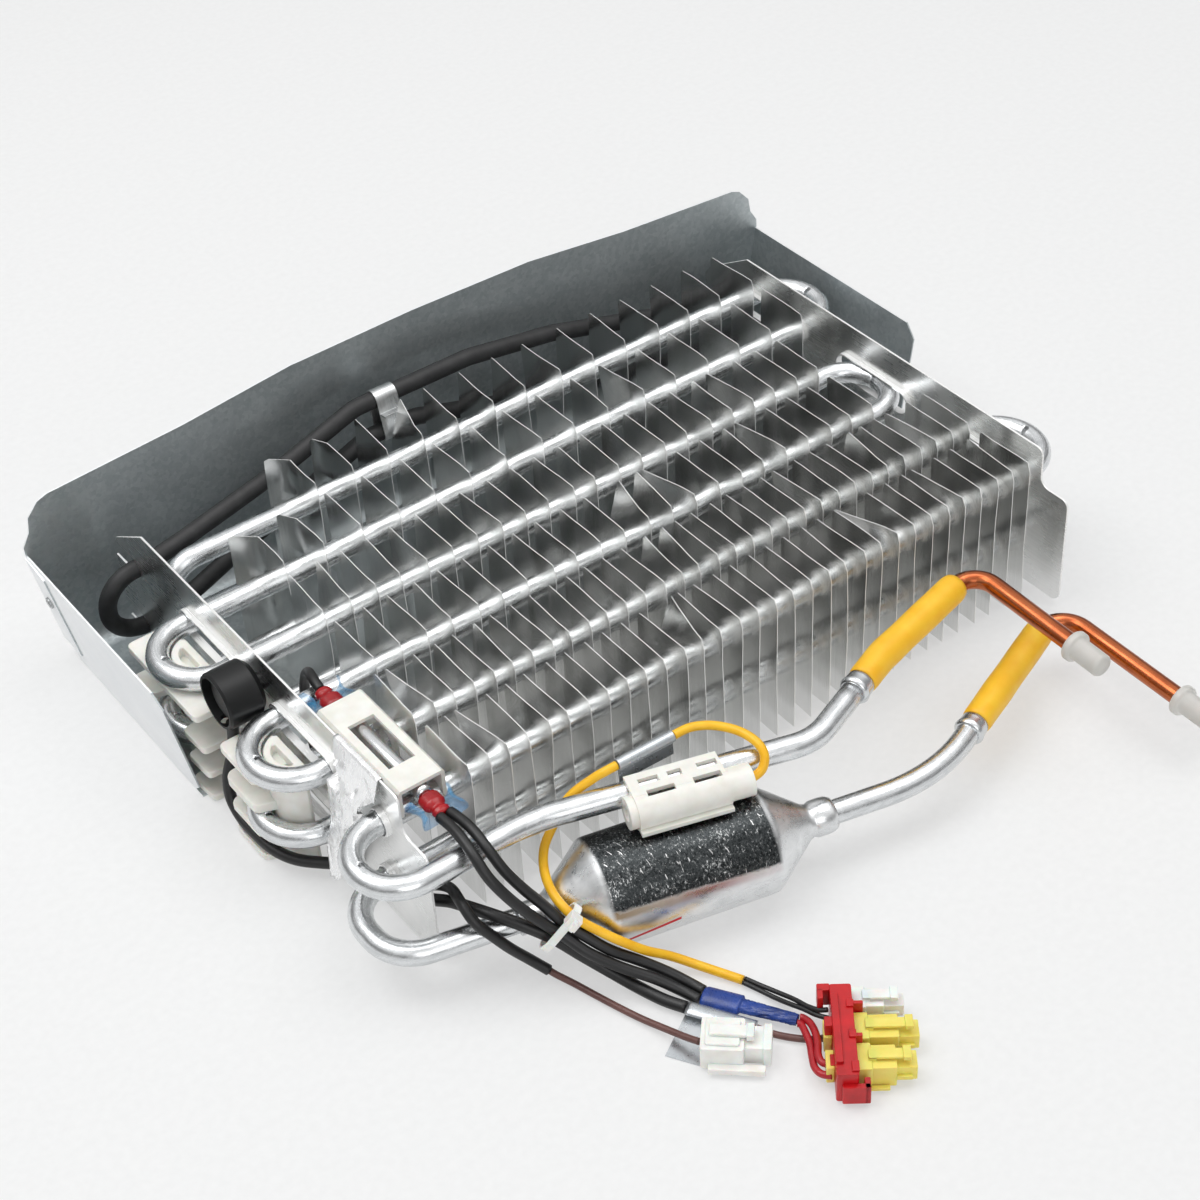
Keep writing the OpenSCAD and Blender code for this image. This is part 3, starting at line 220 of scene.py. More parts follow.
def drawn_tube():
    # Drawn aluminium tube: bright, with long streaks from the die, small scuffs and shallow wrinkles.
    made, tree, shader = surface("drawn_aluminium_tube", Metallic=1.0)
    streak = add(tree, NOISE, {"Vector": positions(tree, (60, 0.5, 0.5), source="skin"), "Scale": 1.0,
                               "Detail": 3.0})
    scuff = add(tree, NOISE, {"Vector": positions(tree, (5, 2, 2), source="skin"), "Scale": 1.0,
                              "Detail": 5.0, "Roughness": 0.65, "Distortion": 0.5})
    dent = add(tree, NOISE, {"Vector": positions(tree, (9, 4, 4), source="skin"), "Scale": 1.0})
    lined = add(tree, RAMP, {"Fac": streak}, ((0.3, "#cccfd1"), (0.7, "#e8eaeb")))
    rubbed = add(tree, RAMP, {"Fac": scuff}, ((0.35, "#b2b5b7"), (0.6, "#ebecee")))
    tone = add(tree, MIX, {"Factor": 0.35, "A": lined, "B": rubbed}, data_type="RGBA")
    fine = add(tree, RAMP, {"Fac": streak}, ((0.3, 0.17), (0.75, 0.32)))
    worn = add(tree, RAMP, {"Fac": scuff}, ((0.4, 0.2), (0.7, 0.44)))
    dull = add(tree, MIX, {"Factor": 0.5, "A": fine, "B": worn}, data_type="RGBA")
    relief = add(tree, MIX, {"Factor": 0.35, "A": dent, "B": streak}, data_type="RGBA")
    height = add(tree, BUMP, {"Height": relief.outputs[2], "Strength": 0.4, "Distance": 0.00008})
    feed(tree, shader, Base_Color=tone, Roughness=dull, Normal=height)
    return made


# The accumulator's own axis, along which it was spun, and where its straight body runs on that axis.
ACC_TURN = math.radians(-14)
ACC_START = Vector((20, -189.7, 18.1))
BODY_FROM = 26.0
BODY_TO = 80.0


def spun_aluminium():
    # Spun aluminium shell. On top a dark, smooth painted reflection of the fins lies under white scratches,
    # which are real marks painted bright where they catch the light; below it is bright, and a faint brown
    # and pink heat band runs between. A red pen stroke was left on the bright part.
    made, tree, shader = surface("spun_aluminium_shell", Metallic=1.0)
    turn = (0, 0, ACC_TURN)
    spot = positions(tree, (1, 1, 1), turn, place(ACC_START))
    along = add(tree, "ShaderNodeSeparateXYZ", {"Vector": spot})
    edge = add(tree, RANGE, {"Value": along.outputs["X"], "From Min": BODY_FROM, "From Max": BODY_TO + 1,
                             "To Min": 7.4, "To Max": 5.2})
    wear = add(tree, NOISE, {"Vector": positions(tree, (9, 5, 5), turn), "Scale": 1.0, "Detail": 5.0,
                             "Roughness": 0.7, "Distortion": 0.6})
    fleck = add(tree, NOISE, {"Vector": positions(tree, (0.7, 1.0, 1.0), turn), "Scale": 1.0, "Detail": 5.0,
                              "Roughness": 0.72, "Distortion": 0.8})
    scratch = add(tree, NOISE, {"Vector": positions(tree, (0.5, 2.6, 2.6), (0.5, 0.3, ACC_TURN + 0.5)),
                                "Scale": 1.0, "Detail": 3.0, "Distortion": 0.6})
    wander = add(tree, RANGE, {"Value": wear, "From Min": 0.3, "From Max": 0.7,
                               "To Min": -0.7, "To Max": 0.7})
    over = add(tree, MATH, {0: along.outputs["Z"], 1: edge}, operation="SUBTRACT")
    over = add(tree, MATH, {0: over, 1: wander}, operation="ADD")
    top = add(tree, RANGE, {"Value": over, "From Min": -0.6, "From Max": 0.6},
              interpolation_type="SMOOTHSTEP")
    first = add(tree, RANGE, {"Value": along.outputs["X"], "From Min": BODY_FROM - 1.5,
                              "From Max": BODY_FROM})
    last = add(tree, RANGE, {"Value": along.outputs["X"], "From Min": BODY_TO + 1.5, "From Max": BODY_TO})
    body = add(tree, MATH, {0: first, 1: last}, operation="MULTIPLY")
    # Painted reflection: the top of the body is painted dark, as the fins seen in the shell.
    dark = add(tree, MATH, {0: body, 1: top}, operation="MULTIPLY")
    busy = add(tree, RANGE, {"Value": wear, "From Min": 0.3, "From Max": 0.7,
                             "To Min": -0.12, "To Max": 0.03})
    specks = add(tree, MATH, {0: fleck, 1: busy}, operation="ADD")
    # The dark tones are the painted reflection of the fins, and the pale specks are real scratches painted
    # bright where they catch the light.
    smooth = add(tree, RAMP, {"Fac": specks}, ((0.36, "#2b2e2f"), (0.54, "#4a4d4e"), (0.59, "#8c8e8e"),
                                               (0.67, "#ecedee")))
    lines = add(tree, RAMP, {"Fac": scratch}, ((0.66, 0.0), (0.7, 0.7)))
    scratched_painted_reflection = add(tree, MIX, {"Factor": 1.0, "A": smooth, "B": lines}, data_type="RGBA",
                  blend_type="LIGHTEN")
    bright = add(tree, RAMP, {"Fac": wear}, ((0.3, "#cfd1d2"), (0.7, "#eeeff0")))
    tone = add(tree, MIX, {"Factor": dark, "A": bright, "B": scratched_painted_reflection}, data_type="RGBA")
    # The heat band: brown at the left end, fading to pink.
    below = add(tree, RANGE, {"Value": over, "From Min": -3.6, "From Max": -1.6},
                interpolation_type="SMOOTHSTEP")
    above = add(tree, RANGE, {"Value": over, "From Min": 0.6, "From Max": -0.8},
                interpolation_type="SMOOTHSTEP")
    fade = add(tree, RANGE, {"Value": along.outputs["X"], "From Min": BODY_FROM, "From Max": 62.0,
                             "To Min": 0.85, "To Max": 0.25})
    band = add(tree, MATH, {0: below, 1: above}, operation="MULTIPLY")
    band = add(tree, MATH, {0: band, 1: fade}, operation="MULTIPLY")
    band = add(tree, MATH, {0: band, 1: body}, operation="MULTIPLY")
    reach = add(tree, RANGE, {"Value": along.outputs["X"], "From Min": BODY_FROM, "From Max": 66.0})
    heat = add(tree, RAMP, {"Fac": reach}, ((0.0, "#8a6c3e"), (0.5, "#a08560"), (1.0, "#b89aa0")))
    tone = add(tree, MIX, {"Factor": band, "A": tone, "B": heat}, data_type="RGBA")
    # The pen stroke rises a little from left to right, on the side away from the coil.
    middle, half = 37.0, 9.5
    rise = add(tree, RANGE, {"Value": along.outputs["X"], "From Min": middle - half,
                             "From Max": middle + half, "To Min": -5.4, "To Max": -2.8}, clamp=False)
    gap = add(tree, MATH, {0: along.outputs["Z"], 1: rise}, operation="SUBTRACT")
    gap = add(tree, MATH, {0: gap}, operation="ABSOLUTE")
    stroke = add(tree, RANGE, {"Value": gap, "From Min": 0.8, "From Max": 0.55})
    ends = add(tree, MATH, {0: along.outputs["X"], 1: middle, 2: half}, operation="COMPARE")
    near = add(tree, MATH, {0: along.outputs["Y"], 1: 0.0}, operation="LESS_THAN")
    stroke = add(tree, MATH, {0: stroke, 1: ends}, operation="MULTIPLY")
    stroke = add(tree, MATH, {0: stroke, 1: near}, operation="MULTIPLY")
    tone = add(tree, MIX, {"Factor": stroke, "A": tone, "B": srgb("#c4202c")}, data_type="RGBA")
    shine = add(tree, RAMP, {"Fac": wear}, ((0.3, 0.22), (0.7, 0.38)))
    marked = add(tree, RAMP, {"Fac": fleck}, ((0.4, 0.24), (0.6, 0.5)))
    dull = add(tree, MIX, {"Factor": dark, "A": shine, "B": marked}, data_type="RGBA")
    height = add(tree, BUMP, {"Height": fleck, "Strength": 0.3, "Distance": 0.00004})
    feed(tree, shader, Base_Color=tone, Roughness=dull, Normal=height)
    return made


def drawn_copper():
    # Drawn copper pipe: warm and bright, with brown heat tint, streaks along it and a few pale scuffs.
    made, tree, shader = surface("drawn_copper", Metallic=1.0)
    streak = add(tree, NOISE, {"Vector": positions(tree, (30, 0.6, 0.6), source="skin"), "Scale": 1.0,
                               "Detail": 3.0})
    tint = add(tree, NOISE, {"Vector": positions(tree, (14, 6, 6), source="skin"), "Scale": 1.0,
                             "Detail": 4.0, "Roughness": 0.6, "Distortion": 0.5})
    warm = add(tree, RAMP, {"Fac": tint}, ((0.3, "#823c24"), (0.55, "#b4623a"), (0.75, "#cf8256")))
    lined = add(tree, RAMP, {"Fac": streak}, ((0.3, "#944628"), (0.7, "#cc8058")))
    tone = add(tree, MIX, {"Factor": 0.5, "A": warm, "B": lined}, data_type="RGBA")
    dull = add(tree, RAMP, {"Fac": tint}, ((0.3, 0.34), (0.7, 0.2)))
    height = add(tree, BUMP, {"Height": streak, "Strength": 0.4, "Distance": 0.00003})
    feed(tree, shader, Base_Color=tone, Roughness=dull, Normal=height)
    return made


def crumpled_foil():
    # Aluminium foil tape: bright and smooth between long creases, with a few fine crinkles.
    made, tree, shader = surface("aluminium_foil_tape", Metallic=0.7)
    crease = add(tree, NOISE, {"Vector": positions(tree, (9, 4, 12)), "Scale": 1.0, "Distortion": 1.6})
    crinkle = add(tree, NOISE, {"Vector": positions(tree, (3, 2, 5)), "Scale": 1.0, "Detail": 3.0,
                                "Distortion": 0.8})
    tone = add(tree, RAMP, {"Fac": crinkle}, ((0.3, "#f3f4f5"), (0.7, "#fdfdfd")))
    dull = add(tree, RAMP, {"Fac": crease}, ((0.3, 0.2), (0.7, 0.34)))
    relief = add(tree, MIX, {"Factor": 0.25, "A": crease, "B": crinkle}, data_type="RGBA")
    height = add(tree, BUMP, {"Height": relief.outputs[2], "Strength": 0.5, "Distance": 0.0002})
    feed(tree, shader, Base_Color=tone, Roughness=dull, Normal=height)
    return made


def plastic(name, light, dark, rough, size, depth_mm, spread=0.08, **values):
    # Moulded or drawn plastic and rubber: one even colour that wanders a little, and a fine satin skin.
    made, tree, shader = surface(name, **values)
    broad = add(tree, NOISE, {"Vector": positions(tree, [size * 9] * 3), "Scale": 1.0, "Detail": 3.0})
    fine = add(tree, NOISE, {"Vector": positions(tree, [size] * 3), "Scale": 1.0, "Detail": 3.0})
    tone = add(tree, RAMP, {"Fac": broad}, ((0.3, dark), (0.7, light)))
    dull = add(tree, RAMP, {"Fac": fine}, ((0.3, rough), (0.7, rough + spread)))
    height = add(tree, BUMP, {"Height": fine, "Strength": 0.5, "Distance": depth_mm / 1000})
    feed(tree, shader, Base_Color=tone, Roughness=dull, Normal=height)
    return made


def milky(weight, deep_mm=2):
    """Plastic that light sinks into a little."""
    return {"Subsurface Weight": weight, "Subsurface Scale": deep_mm / 1000}


METALS = {
    # Galvanised tray sheet: cloudy blue grey zinc.
    "galvanised_steel": galvanised_sheet(),
    # End plates: bright rolled sheet, lines along the plate's length.
    "plate_aluminium": rolled_aluminium("rolled_plate_aluminium", "#f6f6f5", "#dfe0df", (0.22, 0.32),
                                        (0.5, 26, 0.5), 0.08, cut=True),
    # Fins: thin bright strip with lines up and down.
    "fin_aluminium": rolled_aluminium("rolled_fin_aluminium", "#f0f0ef", "#dadbd9", (0.18, 0.27),
                                      (30, 0.5, 26), 0.04, cut=True),
    # Strap and rivets: bright plated steel.
    "strap_steel": rolled_aluminium("plated_steel_strip", "#dcdddd", "#9da0a1", (0.2, 0.34),
                                    (0.3, 9, 9), 0.1),
    # Fuse can: a bright drawn shell with soft handling marks.
    "fuse_metal": rolled_aluminium("drawn_fuse_can", "#e6e7e8", "#c0c2c4", (0.14, 0.24),
                                   (0.5, 14, 0.5), 0.1),
    "tube_aluminium": drawn_tube(),
    "accumulator_aluminium": spun_aluminium(),
    "copper": drawn_copper(),
    "foil": crumpled_foil(),
}
PLASTICS = {
    # Heat shrink over the joints: thick, warm yellow polyolefin with a soft gloss.
    "shrink_yellow": plastic("yellow_polyolefin_sleeve", "#fdca34", "#f7ba1c", 0.38, 0.8, 0.03,
                             **milky(0.15)),
    # Transit caps: milky polyethylene that lets a little of the copper show.
    "cap_white": plastic("milky_polyethylene", "#f6f5f1", "#eceae4", 0.3, 0.9, 0.02,
                         **{"Transmission Weight": 0.45, "IOR": 1.5}),
    # Heater sheath: matt black silicone rubber.
    "heater_sheath": plastic("black_silicone_sheath", "#2b2b2c", "#1b1b1c", 0.52, 0.5, 0.03),
    # Boot and seals: soft black rubber with a waxy gloss.
    "black_rubber": plastic("black_moulded_rubber", "#121314", "#0a0b0c", 0.36, 0.6, 0.02,
                            **{"Specular IOR Level": 0.35}),
    # Tube holders and fuse bracket: ivory white polypropylene.
    "holder_white": plastic("ivory_polypropylene", "#f3f2ec", "#e8e6de", 0.36, 0.6, 0.02, **milky(0.2)),
    # Switch: black potting behind the boot's rim.
    "switch_body": plastic("black_potting_resin", "#222324", "#161718", 0.4, 0.5, 0.04),
    # Terminals: glossy red vinyl grips.
    "terminal_red": plastic("red_vinyl_grip", "#b3121b", "#8f0c14", 0.2, 0.8, 0.02),
    # Clear sleeves over the terminals: thin blue film that shows the red inside.
    "sleeve_clear_blue": plastic("clear_blue_film", "#69b6e2", "#3c96d2", 0.08, 1.2, 0.03, 0.05,
                                 Alpha=0.3),
    # Labels: silver film, left blank.
    "label_grey": plastic("silver_label_film", "#ccd0d3", "#b7bcc0", 0.25, 1.5, 0.04, 0.1,
                          Metallic=0.75),
    # Leads: yellow and black vinyl sleeving.
    "lead_yellow": plastic("yellow_vinyl_sleeve", "#fcc526", "#f3b412", 0.34, 0.7, 0.02),
    "lead_black": plastic("black_vinyl_sleeve", "#1c1c1d", "#121213", 0.38, 0.5, 0.03),
    "wire_brown": plastic("brown_wire_insulation", "#6d4a44", "#5a3a35", 0.38, 0.6, 0.02),
    "wire_red": plastic("red_wire_insulation", "#b81d28", "#9c141e", 0.34, 0.6, 0.02),
    # Blue shrink tube: glossy and slightly clear, so the black leads darken it.
    "shrink_blue": plastic("blue_shrink_tube", "#21469c", "#16306f", 0.25, 0.7, 0.06),
    # Tie, plug and in-line connector: natural nylon.
    "nylon_white": plastic("natural_nylon", "#f7f7f4", "#eceae4", 0.3, 0.6, 0.02, **milky(0.3)),
    # Plug housings: saturated red and pale yellow nylon, a little clear at the edges.
    "plug_red": plastic("red_nylon", "#cc0f18", "#b00b12", 0.3, 0.6, 0.02, **milky(0.2, 1)),
    "plug_yellow": plastic("pale_yellow_nylon", "#f3e578", "#ecda62", 0.3, 0.6, 0.02, **milky(0.3)),
}
FINISH = {**METALS, **PLASTICS}
SLOT = {part["node"]: part["material_slot"] for part in frame["record"]["subparts"]}


def put_on(obj, node):
    """Gives a new piece that node's finish and its place on the body, and hides the node that it stands for.
    """
    obj.data.materials.clear()
    obj.data.materials.append(FINISH[SLOT[node]])
    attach(obj, "root")
    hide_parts(node)
    return obj


# Steps that every mesh shares

def smooth_turns(work, sharp):
    """Smooth faces, with an edge kept sharp where the skin turns by more than the given degrees."""
    for face in work.faces:
        face.smooth = True
    for edge in work.edges:
        if len(edge.link_faces) == 2 and edge.calc_face_angle(0) > math.radians(sharp):
            edge.smooth = False


def as_mesh(name, work, sharp):
    """The finished mesh. Where a sharp angle is given, the faces are turned out and smoothed first."""
    if sharp:
        bmesh.ops.recalc_face_normals(work, faces=work.faces)
        smooth_turns(work, sharp)
    mesh = bpy.data.meshes.new(name)
    work.to_mesh(mesh)
    work.free()
    return mesh


def as_object(name, work, sharp=None):
    """The finished mesh as an object in the scene."""
    return link(bpy.data.objects.new(name, as_mesh(name, work, sharp)))


def angles(count):
    """Angles that share out a full turn."""
    return [2 * math.pi * k / count for k in range(count)]


def bridge(work, a, b):
    """Faces between two rings of points, of which one may be a single point."""
    count = max(len(a), len(b))
    for k in range(count):
        m = (k + 1) % count
        ring = [a[k % len(a)], a[m % len(a)], b[m % len(b)], b[k % len(b)]]
        work.faces.new(list(dict.fromkeys(ring)))


def divided(outline, step):
    """Points about a step apart along a closed outline, and the edges that join them."""
    rim = []
    for a, b in zip(outline, outline[1:] + outline[:1]):
        a, b = Vector(a), Vector(b)
        count = max(1, round((b - a).length / step))
        rim += [a.lerp(b, k / count) for k in range(count)]
    return rim, [(k, (k + 1) % len(rim)) for k in range(len(rim))]


# Routes of tubes and leads

# How far apart, in millimetres, the points lie in a bend.
BEND_STEP = 1.6


def unit(v):
    """The same direction with a length of one."""
    return Vector(v).normalized()


def filleted(corners, radii):
    """Points along straight lengths joined by round bends, in millimetres."""
    corners = [Vector(c) for c in corners]
    path = [corners[0]]
    for i in range(1, len(corners) - 1):
        p = corners[i]
        back = unit(corners[i - 1] - p)
        on = unit(corners[i + 1] - p)
        turn = math.pi - back.angle(on)
        if turn < 0.01:
            path.append(p)
            continue
        start = p + back * radii[i] * math.tan(turn / 2)
        centre = p + unit(back + on) * radii[i] / math.cos(turn / 2)
        out = unit(start - centre)
        steps = max(4, round(turn * radii[i] / BEND_STEP))
        for k in range(steps + 1):
            a = turn * k / steps
            path.append(centre + out * radii[i] * math.cos(a) - back * radii[i] * math.sin(a))
    path.append(corners[-1])
    return path


def evened(path, step):
    """The same path with no stretch longer than a step."""
    out = [path[0]]
    for a, b in zip(path, path[1:]):
        count = max(1, math.ceil((b - a).length / step))
        out += [a.lerp(b, (k + 1) / count) for k in range(count)]
    return out


def curved(points):
    """A smooth line through given points, in millimetres."""
    steps = 5
    points = [Vector(p) for p in points]
    out = []
    for i in range(len(points) - 1):
        p0 = points[max(i - 1, 0)]
        p1, p2 = points[i], points[i + 1]
        p3 = points[min(i + 2, len(points) - 1)]
        for k in range(steps):
            t = k / steps
            out.append(((2 * p1) + (p2 - p0) * t + (2 * p0 - 5 * p1 + 4 * p2 - p3) * t * t
                        + (3 * p1 - p0 - 3 * p2 + p3) * t ** 3) * 0.5)
    out.append(points[-1])
    return out


def path_frames(path):
    """Direction and a steady side vector at each point of a path."""
    ways = [unit(path[min(i + 1, len(path) - 1)] - path[max(i - 1, 0)]) for i in range(len(path))]
    side = Vector((0, 0, -1)) if abs(ways[0].z) < 0.8 else Vector((1, 0, 0))
    out = []
    for way in ways:
        side = unit(side - way * side.dot(way))
        out.append((way, side, way.cross(side)))
    return out


def tube(name, path, radius, sides, wide=1.0):
    """A closed round or oval skin along a path. radius may change with the length so far. Each point
    keeps its length along and its place round the tube in the attribute called skin."""
    lengths = [0.0]
    for a, b in zip(path, path[1:]):
        lengths.append(lengths[-1] + (b - a).length)
    reach = radius if callable(radius) else (lambda s: radius)
    verts, skin = [], []
    for p, (_, side, over), s in zip(path, path_frames(path), lengths):
        r = reach(s)
        for a in angles(sides):
            verts.append(place(p + side * math.cos(a) * r + over * math.sin(a) * r * wide))
            skin.append((s / 1000, math.cos(a) * r / 1000, math.sin(a) * r / 1000))
    rings = len(path)
    faces = [[i * sides + k, i * sides + (k + 1) % sides, (i + 1) * sides + (k + 1) % sides,
              (i + 1) * sides + k] for i in range(rings - 1) for k in range(sides)]
    faces += [[k for k in reversed(range(sides))], [(rings - 1) * sides + k for k in range(sides)]]
    mesh = bpy.data.meshes.new(name)
    mesh.from_pydata(verts, [], faces)
    mesh.attributes.new("skin", "FLOAT_VECTOR", "POINT").data.foreach_set(
        "vector", [c for v in skin for c in v])
    for polygon in mesh.polygons:
        polygon.use_smooth = len(polygon.vertices) == 4
    return link(bpy.data.objects.new(name, mesh))


def measured(path):
    """How long a path is, in metres."""
    return sum((b - a).length for a, b in zip(path, path[1:])) / 1000


# Leads: the routes are the part's own, made smooth. The photograph shows each from end to end.
SENSOR_LOOP = [
    (95, -205.7, 42.5), (98.2, -206.8, 42.9), (101.5, -207.4, 44.7), (103.7, -206.1, 47.5),
    (104.4, -203.2, 49.7), (103.9, -198.5, 50.7), (101.9, -193, 51), (97.5, -187.6, 51.3),
    (92, -184.3, 51.3), (86, -183.5, 51)]
SENSOR_RUN = [
    (65, -182, 50), (61, -181.7, 49.7), (57.5, -179.8, 47.3), (50, -177.2, 42), (43, -178, 35),
    (37, -181, 30.8), (32, -188.5, 29), (29.3, -198, 28.4), (30.7, -205.7, 25.5), (35.4, -211.8, 21.2),
    (40, -216.4, 17.5), (46, -219.4, 12), (53.4, -222, 6.4), (60.5, -229, 2.5), (67, -240, 1.6)]
SWITCH_RUN = [
    (-12, -77, 38.2), (-12.5, -77, 32), (-14.5, -77.5, 25), (-17.5, -78, 17.5), (-19, -80.5, 10.5),
    (-19.5, -88, 6.8), (-19.5, -97, 6.8), (-18.5, -106.5, 6.8), (-15, -114.5, 6.6), (-8.5, -121, 6),
    (0.8, -127.5, 4.2), (5, -135, 3.2), (5.3, -146.5, 5.5), (4.2, -157, 12), (4.5, -166, 18),
    (6, -174.5, 23.3), (8.5, -182, 25.3), (12.5, -189.5, 25.3), (18, -196.5, 23), (24, -202.5, 18.5),
    (29.5, -208.5, 12.5), (35, -215.3, 7), (39.6, -223.3, 3.5), (43.2, -231.5, 2.4), (46.6, -238, 2.4)]
FUSE_FAR_RUN = [
    (12.5, -94.6, 50.2), (13, -90, 50.8), (14.5, -83.5, 49), (15.5, -78, 42), (15.5, -75.5, 32),
    (15, -76, 21.5), (13.5, -81, 11.5), (11.5, -90, 6), (10, -102, 5), (9.5, -114, 4.5), (9.3, -126, 4.5),
    (9, -138, 5), (8.5, -149, 8), (8.6, -158.5, 15.5), (7.8, -167, 23), (6.8, -175, 28.7),
    (5, -183, 30.7), (5.4, -189.5, 27), (9, -193, 21.5), (13, -195.5, 15.5), (17.7, -198, 9.5),
    (21.8, -202, 5)]
FUSE_NEAR_RUN_1 = [
    (10.7, -166.4, 50.4), (10.8, -172, 51), (10.5, -178.5, 51), (10, -185.5, 49.5), (10.5, -191.5, 45),
    (13.5, -196, 38.5), (18, -199, 31), (22.5, -202.5, 25), (26, -207, 21), (30, -213, 16.5),
    (36.8, -219.5, 11), (44, -226, 6.6), (49, -232.2, 3.2), (51.5, -238.2, 2.4)]
FUSE_NEAR_RUN_2 = [
    (14.3, -166.4, 50.4), (14.8, -172, 51), (15, -178.5, 51), (15, -186, 48.8), (16.5, -191, 43.5),
    (20, -195, 36.5), (24, -199, 30), (27.2, -204.2, 24.4), (31, -209.5, 20.5), (36, -215, 15.5),
    (42.9, -220, 10.3), (49.2, -225.8, 5.6), (52.9, -231.3, 3), (54.7, -236.2, 2.4)]
BROWN_FUSE = [
    (22, -202.2, 4.8), (23.4, -203.9, 3.3), (26, -208.8, 2), (28.6, -216, 1.4), (31.5, -225, 1.3),
    (34.2, -233, 1.5), (36.6, -240.5, 2.6), (38.6, -247.8, 4.2), (40.2, -252.5, 5.3)]
BROWN_SWITCH = [
    (58.05, -257.16, 2.4), (61.2, -261.8, 1.4), (64.6, -266, 1.15), (68, -270, 1.6), (70, -273, 3.4),
    (71.1, -274.6, 5.4)]
THIN_1 = [(67.8, -239.8, 1.6), (70, -245, 1.4), (71.9, -251, 2.2), (72.9, -257, 4), (73.2, -262.5, 5.8),
          (74.2, -266.6, 7.2), (75.8, -268.7, 8)]
THIN_2 = [(66.4, -240.6, 1.6), (68.6, -246, 1.2), (70, -251.5, 1.8), (71, -257, 3.4), (72.2, -262, 4.8),
          (73.1, -266.6, 5.8), (74.6, -270.3, 6.6)]
SHRINK_START = Vector((53.1, -237.2, 2.4))
SHRINK_WAY = unit((16, -26.7, 1.2))
RED_SIDE = unit((-SHRINK_WAY.y, SHRINK_WAY.x, 0)) * 1.25
RED_FROM = SHRINK_START + SHRINK_WAY * 30.8
RED_1 = [RED_FROM - RED_SIDE, RED_FROM - RED_SIDE + SHRINK_WAY * 1.2, (67.3, -268.6, 4.1),
         (65.5, -272.8, 4.2), (62.9, -276.8, 4.2), (60.9, -280.4, 4.3), (60.7, -283.6, 4.7),
         (62.5, -286.2, 5)]
RED_2 = [RED_FROM + RED_SIDE, RED_FROM + RED_SIDE + SHRINK_WAY * 1.2, (70.5, -267.2, 4.4),
         (68.9, -271.3, 5.1), (66.5, -275.2, 5.4), (64, -278.2, 5.7), (63, -281.1, 5.8),
         (64.5, -283.5, 5.8)]


# The path and the diameter of each lead.
LEADS = {}


def lead(name, points, diameter, node):
    """A smooth lead through a route."""
    path = curved(points)
    LEADS[name] = path, diameter
    return put_on(tube(name, path, diameter / 2, 14), node)


def joined(name, objects, node):
    """Several finished pieces as one mesh."""
    work = bmesh.new()
    for obj in objects:
        work.from_mesh(obj.data)
        bpy.data.objects.remove(obj)
    return put_on(as_object(name, work), node)


def wires(name, routes, radius, sides, node):
    """Thin wires that run side by side, as one piece."""
    return joined(name, [tube("wire", curved(route), radius, sides) for route in routes], node)


def declare(obj):
    """Looks up a lead's path and works out its places and length, and keeps none of them."""
    path, diameter = LEADS[obj.name]
    place(path[0])
    measured(path)
    [place(p) for p in path]


loop = lead("sensor_loop", SENSOR_LOOP, 3, "sensor_lead_loop")
run = lead("sensor_run", SENSOR_RUN, 3, "sensor_lead")
thin = wires("sensor_thin_wires", (THIN_1, THIN_2), 0.8, 10, "sensor_wires")
switch = lead("switch_run", SWITCH_RUN, 4, "switch_lead")
brown_1 = lead("switch_brown_wire", BROWN_SWITCH, 2.2, "brown_wire_switch")
far = lead("fuse_far_run", FUSE_FAR_RUN, 3.5, "fuse_lead_far")
brown_2 = lead("fuse_brown_wire", BROWN_FUSE, 2.2, "brown_wire_fuse")
near_1 = lead("fuse_near_run_1", FUSE_NEAR_RUN_1, 3.5, "fuse_lead_near_1")
near_2 = lead("fuse_near_run_2", FUSE_NEAR_RUN_2, 3.5, "fuse_lead_near_2")
red = wires("red_wire_pair", (RED_1, RED_2), 1.15, 12, "red_wires")


def shrink_tube():
    """Blue shrink tube: flat over two leads, a step, then narrow and wrinkled over two thin wires."""
    rings, sides, length, step_at = 100, 40, 30, 12
    path = [SHRINK_START + SHRINK_WAY * (0.5 + length * k / rings) for k in range(rings + 1)]

    def radius(s):
        if s < 0.8:
            return 1.75 + 0.25 * s / 0.8
        if s < step_at:
            return 2.0
        if s < step_at + 0.6:
            return 2.0 - 0.5 * (s - step_at) / 0.6
        return 1.55 - 0.12 * max(0, s - 28.5)
    made = tube("shrink_skin", path, radius, sides)
    frames = path_frames(path)
    for i, vertex in enumerate(made.data.vertices):
        ring, k = divmod(i, sides)
        s = length * ring / rings
        wide = 1.85 if s < step_at + 0.5 else 1.8 - 0.35 * min(1, (s - step_at - 0.5) / 12)
        _, side, over = frames[ring]
        centre = place(path[ring])
        off = vertex.co - centre
        deep = 0.00008 if s < step_at else 0.0008
        crease = abs(noise.noise(Vector((s * 0.22, k * 0.42 + s * 0.18, 3.0))) * deep)
        vertex.co = centre + side * off.dot(side) + over * off.dot(over) * wide - off.normalized() * crease
    return put_on(made, "blue_heat_shrink")


blue = shrink_tube()


# Coil, lines and heater as smooth tubes on the part's own routes

# The heights of the coil's two layers, the pitch of its six rows and the tubes' sizes.
LOW, HIGH = 18.1, 43.1
ROW_PITCH = 30
COIL_RADIUS = 4
COPPER_RADIUS = 3.175
HEATER_RADIUS = 3.25


def pipe(name, corners, bends, step, radius, sides, node):
    """A round tube on a route of straight lengths, with the radius of each bend."""
    put_on(tube(name, evened(filleted(corners, bends), step), radius, sides), node)


def row_y(i):
    """Where a row stands. Row 1 is at the back."""
    return -ROW_PITCH * (i - 1)


def layer(z):
    """One layer's corners from row 6 to row 1. The middle bend at the right is set in, and row 1 ends at
    the bend that joins the two layers."""
    out = []
    for i in (5, 3, 1):
        right = 267 if i == 3 else 285
        left = 6 if i == 1 else -19
        out += [(right, row_y(i + 1), z), (right, row_y(i), z), (left, row_y(i), z),
                (left, row_y(i - 1), z)]
    return out[:11]


